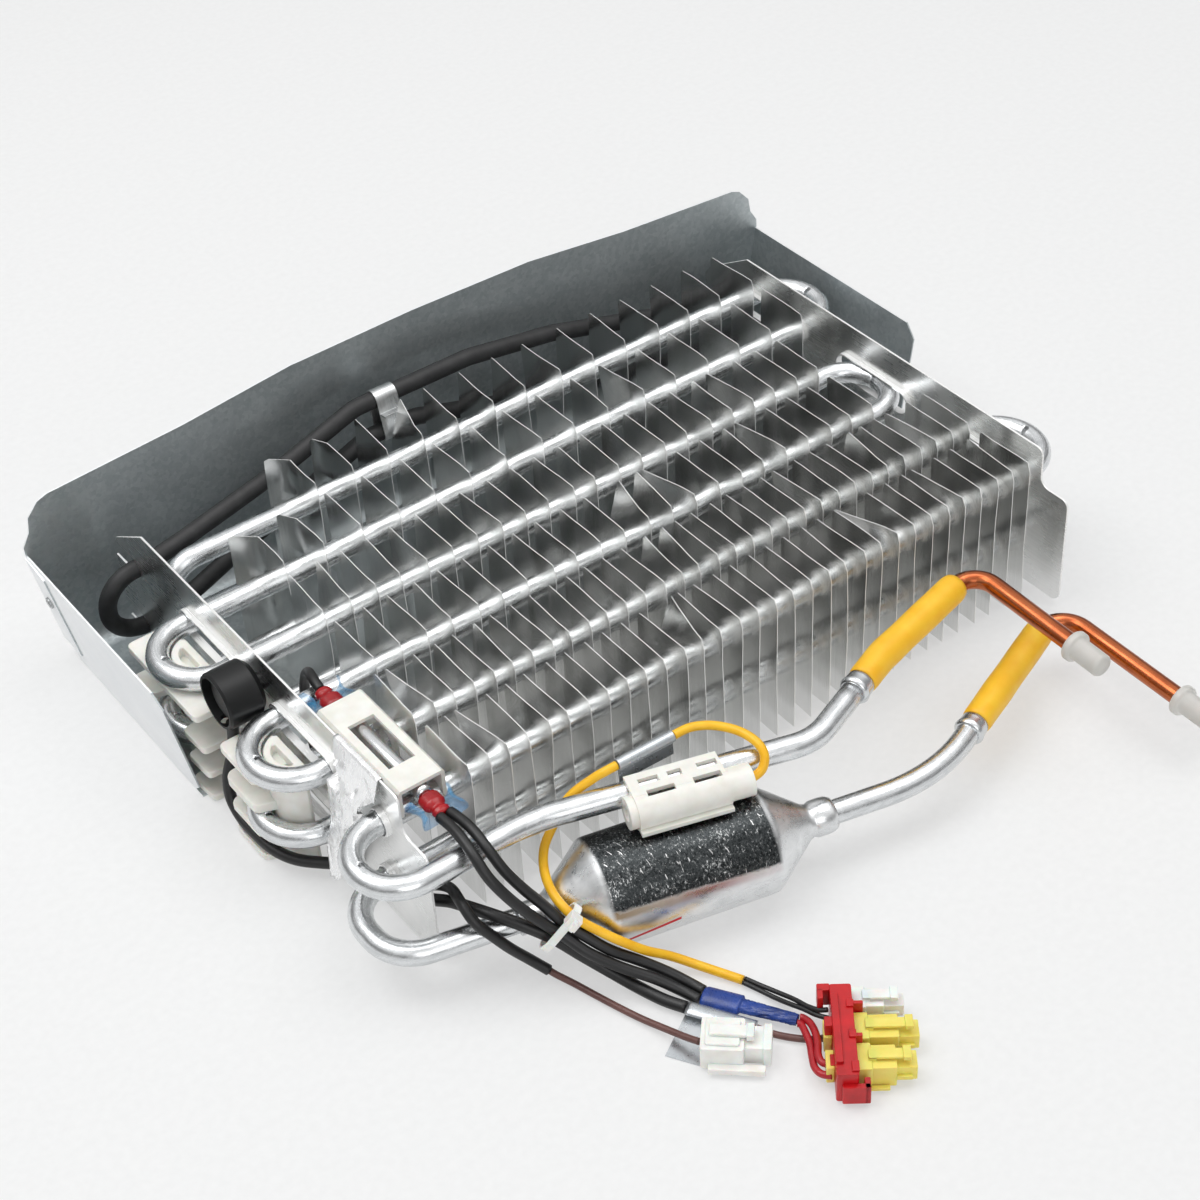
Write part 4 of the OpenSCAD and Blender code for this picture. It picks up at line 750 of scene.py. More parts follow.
ACC_WAY = Vector((math.cos(ACC_TURN), math.sin(ACC_TURN), 0))
INLET_START = Vector((152, -195.7, HIGH))
INLET_CORNER = Vector((123.4, -206.7, HIGH))
INLET_WAY = unit(INLET_START - INLET_CORNER)
# The tube turns from the last row to the accumulator's axis here.
OUTLET_X = -18.3
OUTLET_TURN = ACC_START + ACC_WAY * (OUTLET_X - ACC_START.x) / ACC_WAY.x
# Both tubes reach a little way into the accumulator, whose ends stand at 0 and 106.8 along its axis.
NECK_FIRST, NECK_LAST = 6, 101
COIL = ([INLET_START, INLET_CORNER, (34.7, -178.8, HIGH), (-18, -178.8, HIGH), (-18, row_y(6), HIGH)]
        + layer(HIGH) + layer(LOW)[::-1]
        + [(OUTLET_X, row_y(6), LOW), OUTLET_TURN, ACC_START + ACC_WAY * NECK_FIRST])
# Bends between rows have half the row pitch as radius, and the others their own.
COIL_BENDS = [{1: 20, 2: 60, 3: 14.4, 4: 14.4, 15: 12.5, 16: 12.5}.get(i, ROW_PITCH / 2)
              for i in range(len(COIL))]
pipe("serpentine_tube", COIL, COIL_BENDS, 12, COIL_RADIUS, 32, "coil_tube")

OUT_CORNER = ACC_START + ACC_WAY * 144
OUT_TURN = math.radians(21.6)
OUT_WAY = Vector((math.cos(OUT_TURN), math.sin(OUT_TURN), 0))
OUT_END = OUT_CORNER + OUT_WAY * 28
pipe("outlet_line", [ACC_START + ACC_WAY * NECK_LAST, OUT_CORNER, OUT_END], [0, 60, 0], 6, COIL_RADIUS, 32,
     "outlet_tube")

IN_BEND = INLET_START + INLET_WAY * 14
IN_CORNER = Vector((218, -177.5, HIGH))
IN_TIP = Vector((216, -239.5, HIGH))
OUT_BEND = OUT_CORNER + OUT_WAY * 94
OUT_TIP = Vector((245.5, -262, LOW))
LINE_IN = [INLET_START + INLET_WAY * 0.5, IN_BEND, IN_CORNER, IN_TIP - unit(IN_TIP - IN_CORNER) * 2]
LINE_OUT = [OUT_END + OUT_WAY * 0.5, OUT_BEND, OUT_TIP - unit(OUT_TIP - OUT_BEND) * 2]
WIDE_BEND, TIGHT_BEND = 30, 8
pipe("inlet_copper", LINE_IN, [0, WIDE_BEND, TIGHT_BEND, 0], 5, COPPER_RADIUS, 28, "copper_tube_inlet")
pipe("outlet_copper", LINE_OUT, [0, 9, 0], 5, COPPER_RADIUS, 28, "copper_tube_outlet")


def shrink_over(name, path, node):
    """Yellow shrink sleeve: swells a little in the middle and pulls in at its cut ends."""
    path = evened(path, 1.5)
    whole = measured(path) * 1000

    def radius(s):
        ends = min(1, s / 2.5, (whole - s) / 2.5)
        return 4.75 + 0.4 * math.sqrt(max(0, ends)) + 0.14 * noise.noise(Vector((s * 0.09, 4.0, 1.0)))
    put_on(tube(name, path, radius, 32), node)


# The inlet's sleeve follows the wide bend and ends just before the tight one.
ON_IN = unit(IN_CORNER - IN_BEND)
IN_TURN = math.pi - (IN_BEND - IN_CORNER).angle(IN_TIP - IN_CORNER)
SLEEVE_LENGTH = (IN_CORNER - IN_BEND).length - TIGHT_BEND * math.tan(IN_TURN / 2) - 0.5
SLEEVE_IN = [LINE_IN[0] + INLET_WAY * 0.05, IN_BEND, IN_BEND + ON_IN * SLEEVE_LENGTH]
shrink_over("inlet_sleeve", filleted(SLEEVE_IN, [0, WIDE_BEND, 0]), "shrink_sleeve_inlet")
shrink_over("outlet_sleeve", [LINE_OUT[0] + OUT_WAY * 0.05, LINE_OUT[0] + OUT_WAY * 52],
            "shrink_sleeve_outlet")

HEATER = [
    (275, 18, 32.6), (258, 18, 32.6), (186, 20, 51.5), (148, 20, 57.5), (98, 20, 57.5), (62, 17, 48.1),
    (20, 12, 42.1), (4, 10, 40.6), (-13, 10, 40.6), (-13, 13, 13.1), (6, 13, 13.1), (24, 16, 16.1),
    (48, 20, 22.1), (100, 17, 45), (120, 17, 45), (150, 20, 34.1), (206, 20, 16.1), (254, 18, 13.1),
    (275, 18, 13.1)]
# The two bends round the coil's left end are the tightest.
HEATER_BENDS = [13.25 if i in (8, 9) else 20 for i in range(len(HEATER))]
pipe("heater_run", HEATER, HEATER_BENDS, 6, HEATER_RADIUS, 24, "heater")


# Fins: one bent sheet with two drawn collars, repeated along each row

FIN_MIDDLE = 30.6
FIN_THICK = 0.25
HOLE_RADIUS = 4.1
HOLE_SIDES = 14


def fin_blank():
    """One fin about its own middle, in metres: a thin closed sheet with two holes and their collars."""
    points, edges = divided([
        (-14, 1), (-14, 57.1), (-12.5, 60.6), (10, 60.6), (11, 59.6), (11, 4), (8, 1)], 5)
    holes = [Vector((0, LOW)), Vector((0, HIGH))]
    for hole in holes:
        start = len(points)
        points += [hole + Vector((math.cos(a), math.sin(a))) * HOLE_RADIUS for a in angles(HOLE_SIDES)]
        edges += [(start + k, start + (k + 1) % HOLE_SIDES) for k in range(HOLE_SIDES)]
    # Points between the rim and the holes let the sheet bend.
    for iy in range(5):
        for iz in range(12):
            p = Vector((-11.4 + iy * 5, 5.2 + iz * 4.65))
            if all((p - hole).length > 6.4 for hole in holes):
                points.append(p)
    flat, _, faces, *_ = delaunay_2d_cdt(points, edges, [], 0, 1e-4)
    work = bmesh.new()
    kept = [f for f in faces if all(
        (sum((flat[i] for i in f), Vector((0, 0))) / 3 - hole).length > HOLE_RADIUS - 0.05
        for hole in holes)]
    low, high = ([work.verts.new((x / 1000, p.x / 1000, (p.y - FIN_MIDDLE) / 1000)) for p in flat]
                 for x in (0, FIN_THICK))
    for f in kept:
        work.faces.new([high[i] for i in f])
        work.faces.new([low[i] for i in reversed(f)])
    for edge in [e for e in work.edges if len(e.link_faces) == 1 and e.verts[0] in set(high)]:
        a, b = edge.verts
        i, j = high.index(a), high.index(b)
        work.faces.new([a, b, low[j], low[i]])
        edge.smooth = False
    for hole in holes:
        rings = []
        for x, r in ((FIN_THICK, 5.0), (0.6, 4.5), (2.0, 4.4), (2.0, HOLE_RADIUS), (0.0, HOLE_RADIUS),
                     (0.1, 5.0)):
            rings.append([work.verts.new((x / 1000, (hole.x + r * math.cos(a)) / 1000,
                                          (hole.y - FIN_MIDDLE + r * math.sin(a)) / 1000))
                          for a in angles(HOLE_SIDES)])
        for a, b in zip(rings, rings[1:] + rings[:1]):
            bridge(work, a, b)
    loose = [v for v in work.verts if not v.link_faces]
    bmesh.ops.delete(work, geom=loose, context="VERTS")
    mesh = as_mesh("fin_blank", work, 50)
    flat_spot = [c for v in mesh.vertices for c in (v.co.x, v.co.y, v.co.z)]
    mesh.attributes.new("flat", "FLOAT_VECTOR", "POINT").data.foreach_set("vector", flat_spot)
    return mesh


def fin_stack_tree():
    """Repeats one fin along a row, leans each a little and waves its free edges and corners."""
    tree = bpy.data.node_groups.new("fin_stack", "GeometryNodeTree")
    for name, kind in (("Fin", "Geometry"), ("Count", "Int"), ("Pitch", "Float"), ("First", "Vector"),
                       ("Lean", "Vector"), ("Wave", "Float"), ("Corner", "Float"), ("Fold", "Float"),
                       ("Seed", "Int"), ("Metal", "Material")):
        tree.interface.new_socket(name, in_out="INPUT", socket_type="NodeSocket" + kind)
    tree.interface.new_socket("Fins", in_out="OUTPUT", socket_type="NodeSocketGeometry")
    given = add(tree, "NodeGroupInput").outputs
    step = add(tree, "ShaderNodeCombineXYZ", {"X": given["Pitch"]})
    line = add(tree, "GeometryNodeMeshLine", {
        "Count": given["Count"], "Start Location": given["First"], "Offset": step})
    number = add(tree, "GeometryNodeStoreNamedAttribute", {
        "Geometry": line, "Name": "fin_number", "Value": add(tree, "GeometryNodeInputIndex")})
    less = add(tree, "ShaderNodeVectorMath", {0: given["Lean"], 1: (-1, -1, -1)}, operation="MULTIPLY")
    lean = add(tree, "FunctionNodeRandomValue", {"Min": less, "Max": given["Lean"], "Seed": given["Seed"]},
               data_type="FLOAT_VECTOR")
    row = add(tree, "GeometryNodeInstanceOnPoints", {
        "Points": number, "Instance": given["Fin"], "Rotation": lean.outputs[0]})
    real = add(tree, "GeometryNodeRealizeInstances", {"Geometry": row})
    flat = add(tree, "GeometryNodeInputNamedAttribute", {"Name": "flat"}, data_type="FLOAT_VECTOR")
    spot = add(tree, "ShaderNodeSeparateXYZ", {"Vector": flat})
    which = add(tree, "GeometryNodeInputNamedAttribute", {"Name": "fin_number"}, data_type="FLOAT")
    # How far a point is from the nearer tube, which holds the fin still.
    plane = add(tree, "ShaderNodeVectorMath", {0: flat, 1: (0, 1, 1)}, operation="MULTIPLY")
    away = [add(tree, "ShaderNodeVectorMath", {0: plane, 1: (0, 0, (z - FIN_MIDDLE) / 1000)},
                operation="DISTANCE") for z in (LOW, HIGH)]
    nearest = add(tree, MATH, {0: away[0], 1: away[1]}, operation="MINIMUM")
    free = add(tree, RANGE, {"Value": nearest, "From Min": 0.006, "From Max": 0.016},
               interpolation_type="SMOOTHSTEP")
    shift = add(tree, MATH, {0: which, 1: 7.31}, operation="MULTIPLY")
    shift = add(tree, MATH, {0: shift, 1: given["Seed"]}, operation="ADD")
    spread = add(tree, "ShaderNodeVectorMath", {0: flat, 1: (0, 50, 34)}, operation="MULTIPLY")
    offset = add(tree, "ShaderNodeCombineXYZ", {"X": shift})
    spread = add(tree, "ShaderNodeVectorMath", {0: spread, 1: offset}, operation="ADD")
    wander = add(tree, NOISE, {"Vector": spread, "Scale": 1.0, "Detail": 0.0})
    wander = add(tree, MATH, {0: wander, 1: 0.5}, operation="SUBTRACT")
    wave = add(tree, MATH, {0: wander, 1: free}, operation="MULTIPLY")
    wave = add(tree, MATH, {0: wave, 1: given["Wave"]}, operation="MULTIPLY")
    # Knocked corners: past a slanting line near the top, a few sheets bend over by a random amount.
    slant = add(tree, "ShaderNodeVectorMath", {0: flat, 1: (0, 0.8, 1.0)}, operation="DOT_PRODUCT")
    past = add(tree, MATH, {0: slant, 1: 0.022}, operation="SUBTRACT")
    past = add(tree, MATH, {0: past, 1: 0.0}, operation="MAXIMUM")
    luck = add(tree, "FunctionNodeRandomValue", {"Min": -1.0, "ID": which, "Seed": given["Seed"]},
               data_type="FLOAT")
    rare = add(tree, MATH, {0: luck, 1: 9.0}, operation="POWER")
    knock = add(tree, MATH, {0: past, 1: rare}, operation="MULTIPLY")
    knock = add(tree, MATH, {0: knock, 1: given["Corner"]}, operation="MULTIPLY")
    # The first sheets of the back rows are folded to the left behind the tube.
    behind = add(tree, MATH, {0: spot.outputs["Y"], 1: 0.0052}, operation="SUBTRACT")
    behind = add(tree, MATH, {0: behind, 1: 0.0}, operation="MAXIMUM")
    early = add(tree, RANGE, {"Value": which, "From Min": 2.0, "From Max": 0.0})
    fold = add(tree, MATH, {0: behind, 1: early}, operation="MULTIPLY")
    fold = add(tree, MATH, {0: fold, 1: given["Fold"]}, operation="MULTIPLY")
    total = add(tree, MATH, {0: wave, 1: knock}, operation="ADD")
    total = add(tree, MATH, {0: total, 1: fold}, operation="SUBTRACT")
    push = add(tree, "ShaderNodeCombineXYZ", {"X": total})
    moved = add(tree, "GeometryNodeSetPosition", {"Geometry": real, "Offset": push})
    metal = add(tree, "GeometryNodeSetMaterial", {"Geometry": moved, "Material": given["Metal"]})
    add(tree, "NodeGroupOutput", {"Fins": metal})
    return tree


def made_by(name, mesh, tree, values):
    """Runs a tree on a mesh and keeps the result as a plain mesh object."""
    maker = link(bpy.data.objects.new(name + "_maker", mesh))
    modifier = maker.modifiers.new("maker", "NODES")
    modifier.node_group = tree
    for item in tree.interface.items_tree:
        if item.item_type == "SOCKET" and item.in_out == "INPUT" and item.name in values:
            modifier[item.identifier] = values[item.name]
    bpy.context.view_layer.update()
    ready = maker.evaluated_get(bpy.context.evaluated_depsgraph_get())
    result = bpy.data.meshes.new_from_object(ready)
    bpy.data.objects.remove(maker)
    result.name = name
    return link(bpy.data.objects.new(name, result))


def fin_rows():
    """Six rows of the one fin, at three pitches."""
    blank = fin_blank()
    tree = fin_stack_tree()
    # Row, how many fins, their pitch and where the first stands, then how much they wave, bend and fold.
    rows = ((1, 14, 15, 61.5, 2.4, 0.7, 1.2), (2, 16, 15, 31.5, 2.2, 0.6, 1.4),
            (3, 22, 10, 28.5, 1.8, 0.5, 0.0), (4, 22, 10, 28.5, 1.8, 0.4, 0.0),
            (5, 32, 7.5, 24, 1.5, 0.3, 0.0), (6, 32, 7.5, 24, 1.7, 0.5, 0.0))
    for i, count, pitch, first, wave, corner, fold in rows:
        made = made_by(f"fin_sheets_{i}", blank, tree, {
            "Count": count, "Pitch": pitch / 1000, "First": place((first, row_y(i), FIN_MIDDLE)),
            "Lean": (0.0, 0.009, 0.014), "Wave": wave / 1000, "Corner": corner, "Fold": fold,
            "Seed": 11 * i, "Metal": FINISH["fin_aluminium"]})
        put_on(made, f"fins_row_{i}")


fin_rows()


# Pieces turned about an axis

def turned(name, profile, start, way, node, sides, sharp):
    """A closed piece of revolution. The profile is (length along, radius) pairs in millimetres."""
    way = unit(way)
    side = unit(Vector((0, 0, 1)) - way * way.z) if abs(way.z) < 0.9 else Vector((1, 0, 0))
    over = way.cross(side)
    work = bmesh.new()
    rings = []
    for along, r in profile:
        centre = Vector(start) + way * along
        if r <= 0:
            rings.append([work.verts.new(place(centre))])
            continue
        rings.append([work.verts.new(place(centre + (side * math.cos(a) + over * math.sin(a)) * r))
                      for a in angles(sides)])
    for a, b in zip(rings, rings[1:]):
        bridge(work, a, b)
    put_on(as_object(name, work, sharp), node)


# Accumulator shell: neck, rounded shoulders, body, and a weld bead at the far end.
turned("accumulator_shell", [
    (0.2, 0), (0.2, 4.4), (0, 4.6), (0, 5), (6.5, 5), (8, 5.1), (10, 6), (22.2, 15.3), (23.6, 16.4),
    (24.8, 17.3), (26, 17.9), (27.5, 18), (50, 18), (79.5, 18), (81, 17.9), (82.2, 17.3), (83.4, 16.4),
    (84.8, 15.3), (96.5, 6.2), (98.4, 5.4), (99, 5.6), (99.8, 6), (103, 6.1), (105, 5.9), (106.4, 5.3),
    (106.8, 4.4), (106.8, 0)],
    ACC_START, ACC_WAY, "accumulator", sides=96, sharp=60)

# Brazed rings where the aluminium tube takes the copper line.
RING = [(-5.5, 0), (-5.5, 4.1), (-5.45, 4.5), (-4.9, 4.9), (-4.3, 5.2), (-3.4, 5.1), (-2, 4.85), (-1, 4.8),
        (0.3, 4.75), (0.5, 4.5), (0.5, 0)]
turned("joint_ring_outlet_brazed", RING, OUT_END, OUT_WAY, "joint_ring_outlet", sides=48, sharp=60)
turned("joint_ring_inlet_brazed", RING, INLET_START, INLET_WAY, "joint_ring_inlet", sides=48, sharp=60)

# Transit caps with their collars, thin enough for the copper to show.
CAP = [(0, 0), (0, 2.9), (0.3, 3.5), (1, 3.95), (10.9, 3.97), (11.3, 4.4), (11.5, 5.1), (11.9, 5.37),
       (13.5, 5.37), (13.9, 5.1), (14, 4.8), (14, 3.28), (1.8, 3.28), (1.8, 0)]
turned("cap_inlet_moulded", CAP, IN_TIP, IN_CORNER - IN_TIP, "cap_inlet", sides=40, sharp=50)
turned("cap_outlet_moulded", CAP, OUT_TIP, OUT_BEND - OUT_TIP, "cap_outlet", sides=40, sharp=50)

# Fuse can with a crimped groove near each end.
FUSE_X, FUSE_Z = 12.5, 50.2
FUSE_NEAR, FUSE_FAR = -156, -105
turned("fuse_can", [(0, 0), (0, 1.6), (0.3, 2.4), (1, 3), (3.5, 3), (3.9, 2.75), (4.3, 3), (46.7, 3),
                    (47.1, 2.75), (47.5, 3), (50, 3), (50.7, 2.4), (51, 1.6), (51, 0)],
       (FUSE_X, FUSE_NEAR, FUSE_Z), (0, 1, 0), "fuse", sides=40, sharp=60)


# Moulded pieces, built up from slabs

def rounded(outline, radius):
    """A closed outline with its corners rounded off."""
    out = []
    for i, corner in enumerate(outline):
        p = Vector(corner)
        back = Vector(outline[i - 1]) - p
        on = Vector(outline[(i + 1) % len(outline)]) - p
        cut = min(radius, back.length * 0.45, on.length * 0.45)
        a = p + back.normalized() * cut
        b = p + on.normalized() * cut
        out += [a.lerp(p, t).lerp(p.lerp(b, t), t) for t in (0, 0.25, 0.5, 0.75, 1)]
    return out


def oblong(x0, x1, y0, y1, radius=0.0):
    """The outline of a rectangle, with its corners rounded where a radius is given."""
    corners = [(x0, y0), (x1, y0), (x1, y1), (x0, y1)]
    return rounded(corners, radius) if radius else corners


def moulding(name, slabs, node, edge, turn=0.0, at=(0, 0, 0)):
    """A moulded piece built up from slabs: each is an outline in plan, raised between two heights, and
    may have a hole with as many corners as the outline."""
    spin = Matrix.Rotation(math.radians(turn), 3, "Z")
    work = bmesh.new()
    for outline, low, high, *hole in slabs:
        loops = []
        for shape in [outline] + hole:
            loops.append([[work.verts.new(place(spin @ Vector((x, y, z)) + Vector(at))) for x, y in shape]
                          for z in (low, high)])
        for bottom, top in loops:
            bridge(work, bottom, top)
        for level in (0, 1):
            if hole:
                bridge(work, loops[0][level], loops[1][level])
            else:
                work.faces.new(loops[0][level])
    obj = put_on(as_object(name, work, 30), node)
    soften(obj, edge)
    return obj


def soften(obj, edge):
    """Breaks a piece's edges, by a width in millimetres."""
    bevel = obj.modifiers.new("broken_edge", "BEVEL")
    bevel.width = edge / 1000
    bevel.segments = 2
    bevel.limit_method = "ANGLE"
    bevel.angle_limit = math.radians(38)
    bevel.harden_normals = True


def bend_core(middle):
    """Wall that fills the inside of a bend: round to the left, and straight beside the end plate. It is
    drawn from a point that stands a little to the left of the bend's own centre."""
    bend_x, off, count = -4, 6, 36
    loops = []
    for reach, side in ((10.6, 4.2), (8.0, 1.5)):
        loop = []
        for k in range(count):
            a = 2 * math.pi * (k + 0.5) / count
            r = off * math.cos(a) + math.sqrt(off ** 2 * math.cos(a) ** 2 - off ** 2 + reach ** 2)
            if math.cos(a) > 0.01:
                r = min(r, side / math.cos(a))
            loop.append((bend_x - off + r * math.cos(a), middle + r * math.sin(a)))
        loops.append(loop)
    return loops[0], 0.6, 42.6, loops[1]


def tube_holders():
    """Holders between the left bends: four plates on a hollow core, with a bay where a bend sits."""
    left, right = -21.2, -6
    bay = rounded([(left, -21.5), (right, -21.5), (right, -69.5), (left + 0.6, -69.5), (left, -56),
                   (-13.5, -54.5), (-12, -45), (-13.5, -36), (left, -34)], 2.2)
    moulding("tube_holder_far", [
        (oblong(left, right, -69, -21.5, 2.5), 36.2, 39), (bay, 22.2, 25), (bay, 11.2, 14), (bay, 0.6, 3.4),
        bend_core(-1.5 * ROW_PITCH)], "tube_holder_1", edge=0.5)
    short = rounded([(left, -86), (left + 2, -84), (right, -84), (right, -107), (-12, -107),
                     (left, -103.5)], 2.2)
    moulding("tube_holder_near", [
        (oblong(left, right, -106, -84, 2.5), 36.2, 39), (short, 22.2, 26), (short, 11.2, 14),
        (short, 0.6, 3.4), bend_core(-3.5 * ROW_PITCH)], "tube_holder_2", edge=0.5)


tube_holders()


# Thermal fuse ends: red two lobed grips in thin clear blue sleeves that are slit along the top. How wide
# a grip is at points along it:
LOBES = [(0, 1.6), (0.5, 2.3), (1.2, 2.55), (4.6, 2.6), (5.6, 2.2), (6.3, 1.75), (7.0, 1.75), (7.8, 2.1),
         (9.2, 1.9), (10, 1.3)]


def grip_radius(s):
    """Half the height of a grip, so far along it."""
    for (s0, r0), (s1, r1) in zip(LOBES, LOBES[1:]):
        if s <= s1:
            return r0 + (r1 - r0) * (s - s0) / (s1 - s0)
    return LOBES[-1][1]


def clear_sleeve(work, end, way):
    """A strip of film round a grip, its skin out along one side and back along the other."""
    lengths, arc, thick = 12, 40, 0.3
    loops = []
    for n in range(lengths + 1):
        t = n / lengths
        loop = []
        for skin, order in ((0.0, range(arc)), (thick, reversed(range(arc)))):
            wide = 7.3 + 0.7 * math.cos(2 * math.pi * t) - skin
            tall = 3.3 + 0.35 * math.cos(2 * math.pi * t + 0.8) - skin
            for k in order:
                a = math.radians(138 + 264 * k / (arc - 1))
                c, s = math.cos(a), math.sin(a)
                bulge = 1 + 0.05 * math.sin(3 * a + 4 * t + way)
                y = end + way * (1.6 + 8.6 * t) + 0.7 * math.cos(2 * a) * (2 * t - 1) * way
                loop.append(work.verts.new(place((
                    FUSE_X + wide * bulge * math.copysign(abs(c) ** 0.85, c), y,
                    FUSE_Z + tall * bulge * math.copysign(abs(s) ** 0.8, s)))))
        loops.append(loop)
    for a, b in zip(loops, loops[1:]):
        bridge(work, a, b)
    last = 2 * arc - 1
    for loop in (loops[0], loops[-1]):
        for k in range(arc - 1):
            work.faces.new([loop[k], loop[k + 1], loop[last - 1 - k], loop[last - k]])


def fuse_ends():
    """A grip and its sleeve at each end of the fuse."""
    grips = []
    film = bmesh.new()
    for end, way in ((FUSE_NEAR, -1), (FUSE_FAR, 1)):
        path = [Vector((FUSE_X, end + way * (0.15 + 10 * k / 40), FUSE_Z)) for k in range(41)]
        grips.append(tube("grip", path, grip_radius, 24, 1.45))
        clear_sleeve(film, end, way)
    joined("fuse_terminal_grips", grips, "fuse_terminals")
    put_on(as_object("fuse_clear_sleeves", film, 60), "fuse_sleeves")


fuse_ends()


# Plugs in their red housing, written from the housing's middle with x along the plugs

PLUG_TURN = -36.9
PLUG_AT = (72.5, -280, 0)


def red_holder():
    """The housing: a block with ribs on top, and lugs, hooks and guides at its sides."""
    return moulding("red_plug_holder", [
        (oblong(-3.5, 3, -17, 16.8, 0.8), 0.8, 12.9), (oblong(-3.5, -1.2, -13, 12.5, 0.4), 12.7, 14),
        (oblong(1, 3.2, -16, -12.2), 12.7, 13.6), (oblong(1, 3.2, -3.6, -0.9), 12.7, 13.6),
        (oblong(1, 3.2, 7.7, 10.4), 12.7, 13.6), (oblong(-5.8, -3.3, 0.8, 4.4, 0.4), 8.4, 13.2),
        (oblong(-4.8, -3.3, -10.4, -6.2, 0.3), 3, 9), (oblong(-7.2, -3.3, 14.8, 17.5, 0.5), 5.5, 12.4),
        (oblong(-7.2, -5.4, 11.8, 15.4, 0.4), 5.5, 12.4), (oblong(-1.8, 6.4, -18.6, -16.8, 0.5), 1.5, 8.8),
        (oblong(4.6, 6.4, -18.6, -14.6, 0.4), 1.5, 8.8), (oblong(2.9, 6, 8.7, 9.9), 4, 13.4),
        (oblong(2.9, 5, -2.9, -1.7), 4, 12.9)],
        "red_housing", 0.25, PLUG_TURN, PLUG_AT)


def plug(name, seat, length, wide, high, rear, node):
    """A crimp plug: body, shoulder, nose between two rails, and a latch arm with a pad at its end. A plug
    with a rear also shows behind the housing."""
    y = 3.4 + 11.3 * seat
    half = wide / 2
    slabs = [
        (oblong(3.05, length - 6, y - half + 0.6, y + half - 0.6, 0.5), 1.2, high + 0.6),
        (oblong(3.05, 7.2, y - half, y + half, 0.5), 1, high + 1),
        (oblong(length - 6.6, length, y - half + 1.7, y + half - 1.7, 0.4), 2.6, high - 0.8),
        (oblong(length - 6.6, length - 1.4, y - half + 0.7, y - half + 1.9), 3.6, 5.2),
        (oblong(length - 6.6, length - 1.4, y + half - 1.9, y + half - 0.7), 3.6, 5.2),
        (oblong(6.2, 8.6, y - 1.7, y + 1.7, 0.3), high + 0.4, high + 2.2),
        (oblong(6.2, length - 1.8, y - 1.7, y + 1.7, 0.3), high + 1.4, high + 2.3),
        (oblong(length - 4.2, length - 1.8, y - 2.3, y + 2.3, 0.3), high + 1.2, high + 2.8),
        (oblong(3.05, length - 8, y - half - 1.2, y - half + 0.2, 0.3), 1.2, 2.3)]
    if rear:
        slabs.append((oblong(-6, -3.55, y - 3.4, y + 3.4, 0.4), 2.2, 8.8))
    return moulding(name, slabs, node, 0.2, PLUG_TURN, PLUG_AT)


def white_connector():
    """In-line connector lying on its label, with a stepped nose, a latch and a wing along each side."""
    return moulding("white_inline_connector", [
        (oblong(0, 13, -6.2, 6.2, 1.1), 0.4, 9.2), (oblong(1.4, 11.6, -4.8, 4.8, 0.8), 9, 10.1),
        (oblong(12.6, 20.8, -4.3, 4.3, 0.7), 1.4, 8.2), (oblong(18.4, 21, -4.9, 4.9, 0.6), 1, 8.8),
        (oblong(2.4, 19.4, -8.6, -5.9, 0.5), 0.7, 3), (oblong(2.6, 15.8, -2, 2, 0.4), 10, 11.3),
        (oblong(13.6, 15.8, -2.6, 2.6, 0.3), 9.4, 11.6), (oblong(4, 10, 5.9, 7.3, 0.3), 3, 6)],
        "inline_connector", 0.35, -42, (40.5, -252.8, 0.35))


def toothed_tie():
    """Cable tie: a toothed strap round the leads and its square head."""
    at = Vector((25.5, -203.2, 23.8))
    way = unit((0.45, -0.65, -0.6))
    over = unit(way.cross(Vector((7, -2, 6))))
    side = over.cross(way)
    apart, inside, teeth, wide = 4.1, 4.1, 120, 2.5
    work = bmesh.new()
    rings = []
    for k, a in enumerate(angles(teeth)):
        # The strap has a round end on each side of its middle.
        centre = apart if math.cos(a) > 0 else -apart
        out = 4.8 if k % 2 else 4.55
        ring = []
        for r, z in ((inside, 0), (out, 0), (out, wide), (inside, wide)):
            spot = at + side * (centre + math.cos(a) * r) + over * (math.sin(a) * r) + way * z
            ring.append(work.verts.new(place(spot)))
        rings.append(ring)
    for a, b in zip(rings, rings[1:] + rings[:1]):
        bridge(work, a, b)
    # The head, and the cut end of the strap above it.
    for x0, x1, y0, y1, z0, z1 in ((4.5, 8.5, 4.3, 8.8, -0.8, 3.2), (5.1, 7.9, 8.7, 11.4, 0.6, 1.9)):
        box = [[work.verts.new(place(at + side * x + over * y + way * z)) for x, y in (
            (x0, y0), (x1, y0), (x1, y1), (x0, y1))] for z in (z0, z1)]
        for level in box:
            work.faces.new(level)
        bridge(work, *box)
    return put_on(as_object("toothed_tie", work, 24), "cable_tie")


housing = red_holder()
plug_white = plug("white_crimp_plug", 1, 18.6, 8.2, 8.2, False, "white_plug")
plug_yellow = plug("yellow_crimp_plug_a", 0, 22, 9.8, 8.8, True, "yellow_plug_1")
plug("yellow_crimp_plug_b", -1, 20.4, 9.8, 8.8, True, "yellow_plug_2")
connector = white_connector()
tie = toothed_tie()
# The label on the switch lead is a flat strip of film along it.
strip_from = Vector(SWITCH_RUN[-1])
strip_way = unit((11.3, -18.9, 0))
strip_path = evened([strip_from + strip_way * 0.3, strip_from + strip_way * 22], 1.5)
strip = put_on(tube("switch_film_strip", strip_path, 1.0, 28, 2.6), "switch_label_sleeve")


# CAD pieces whose shape is right: a merged copy with smooth turns and fine broken edges

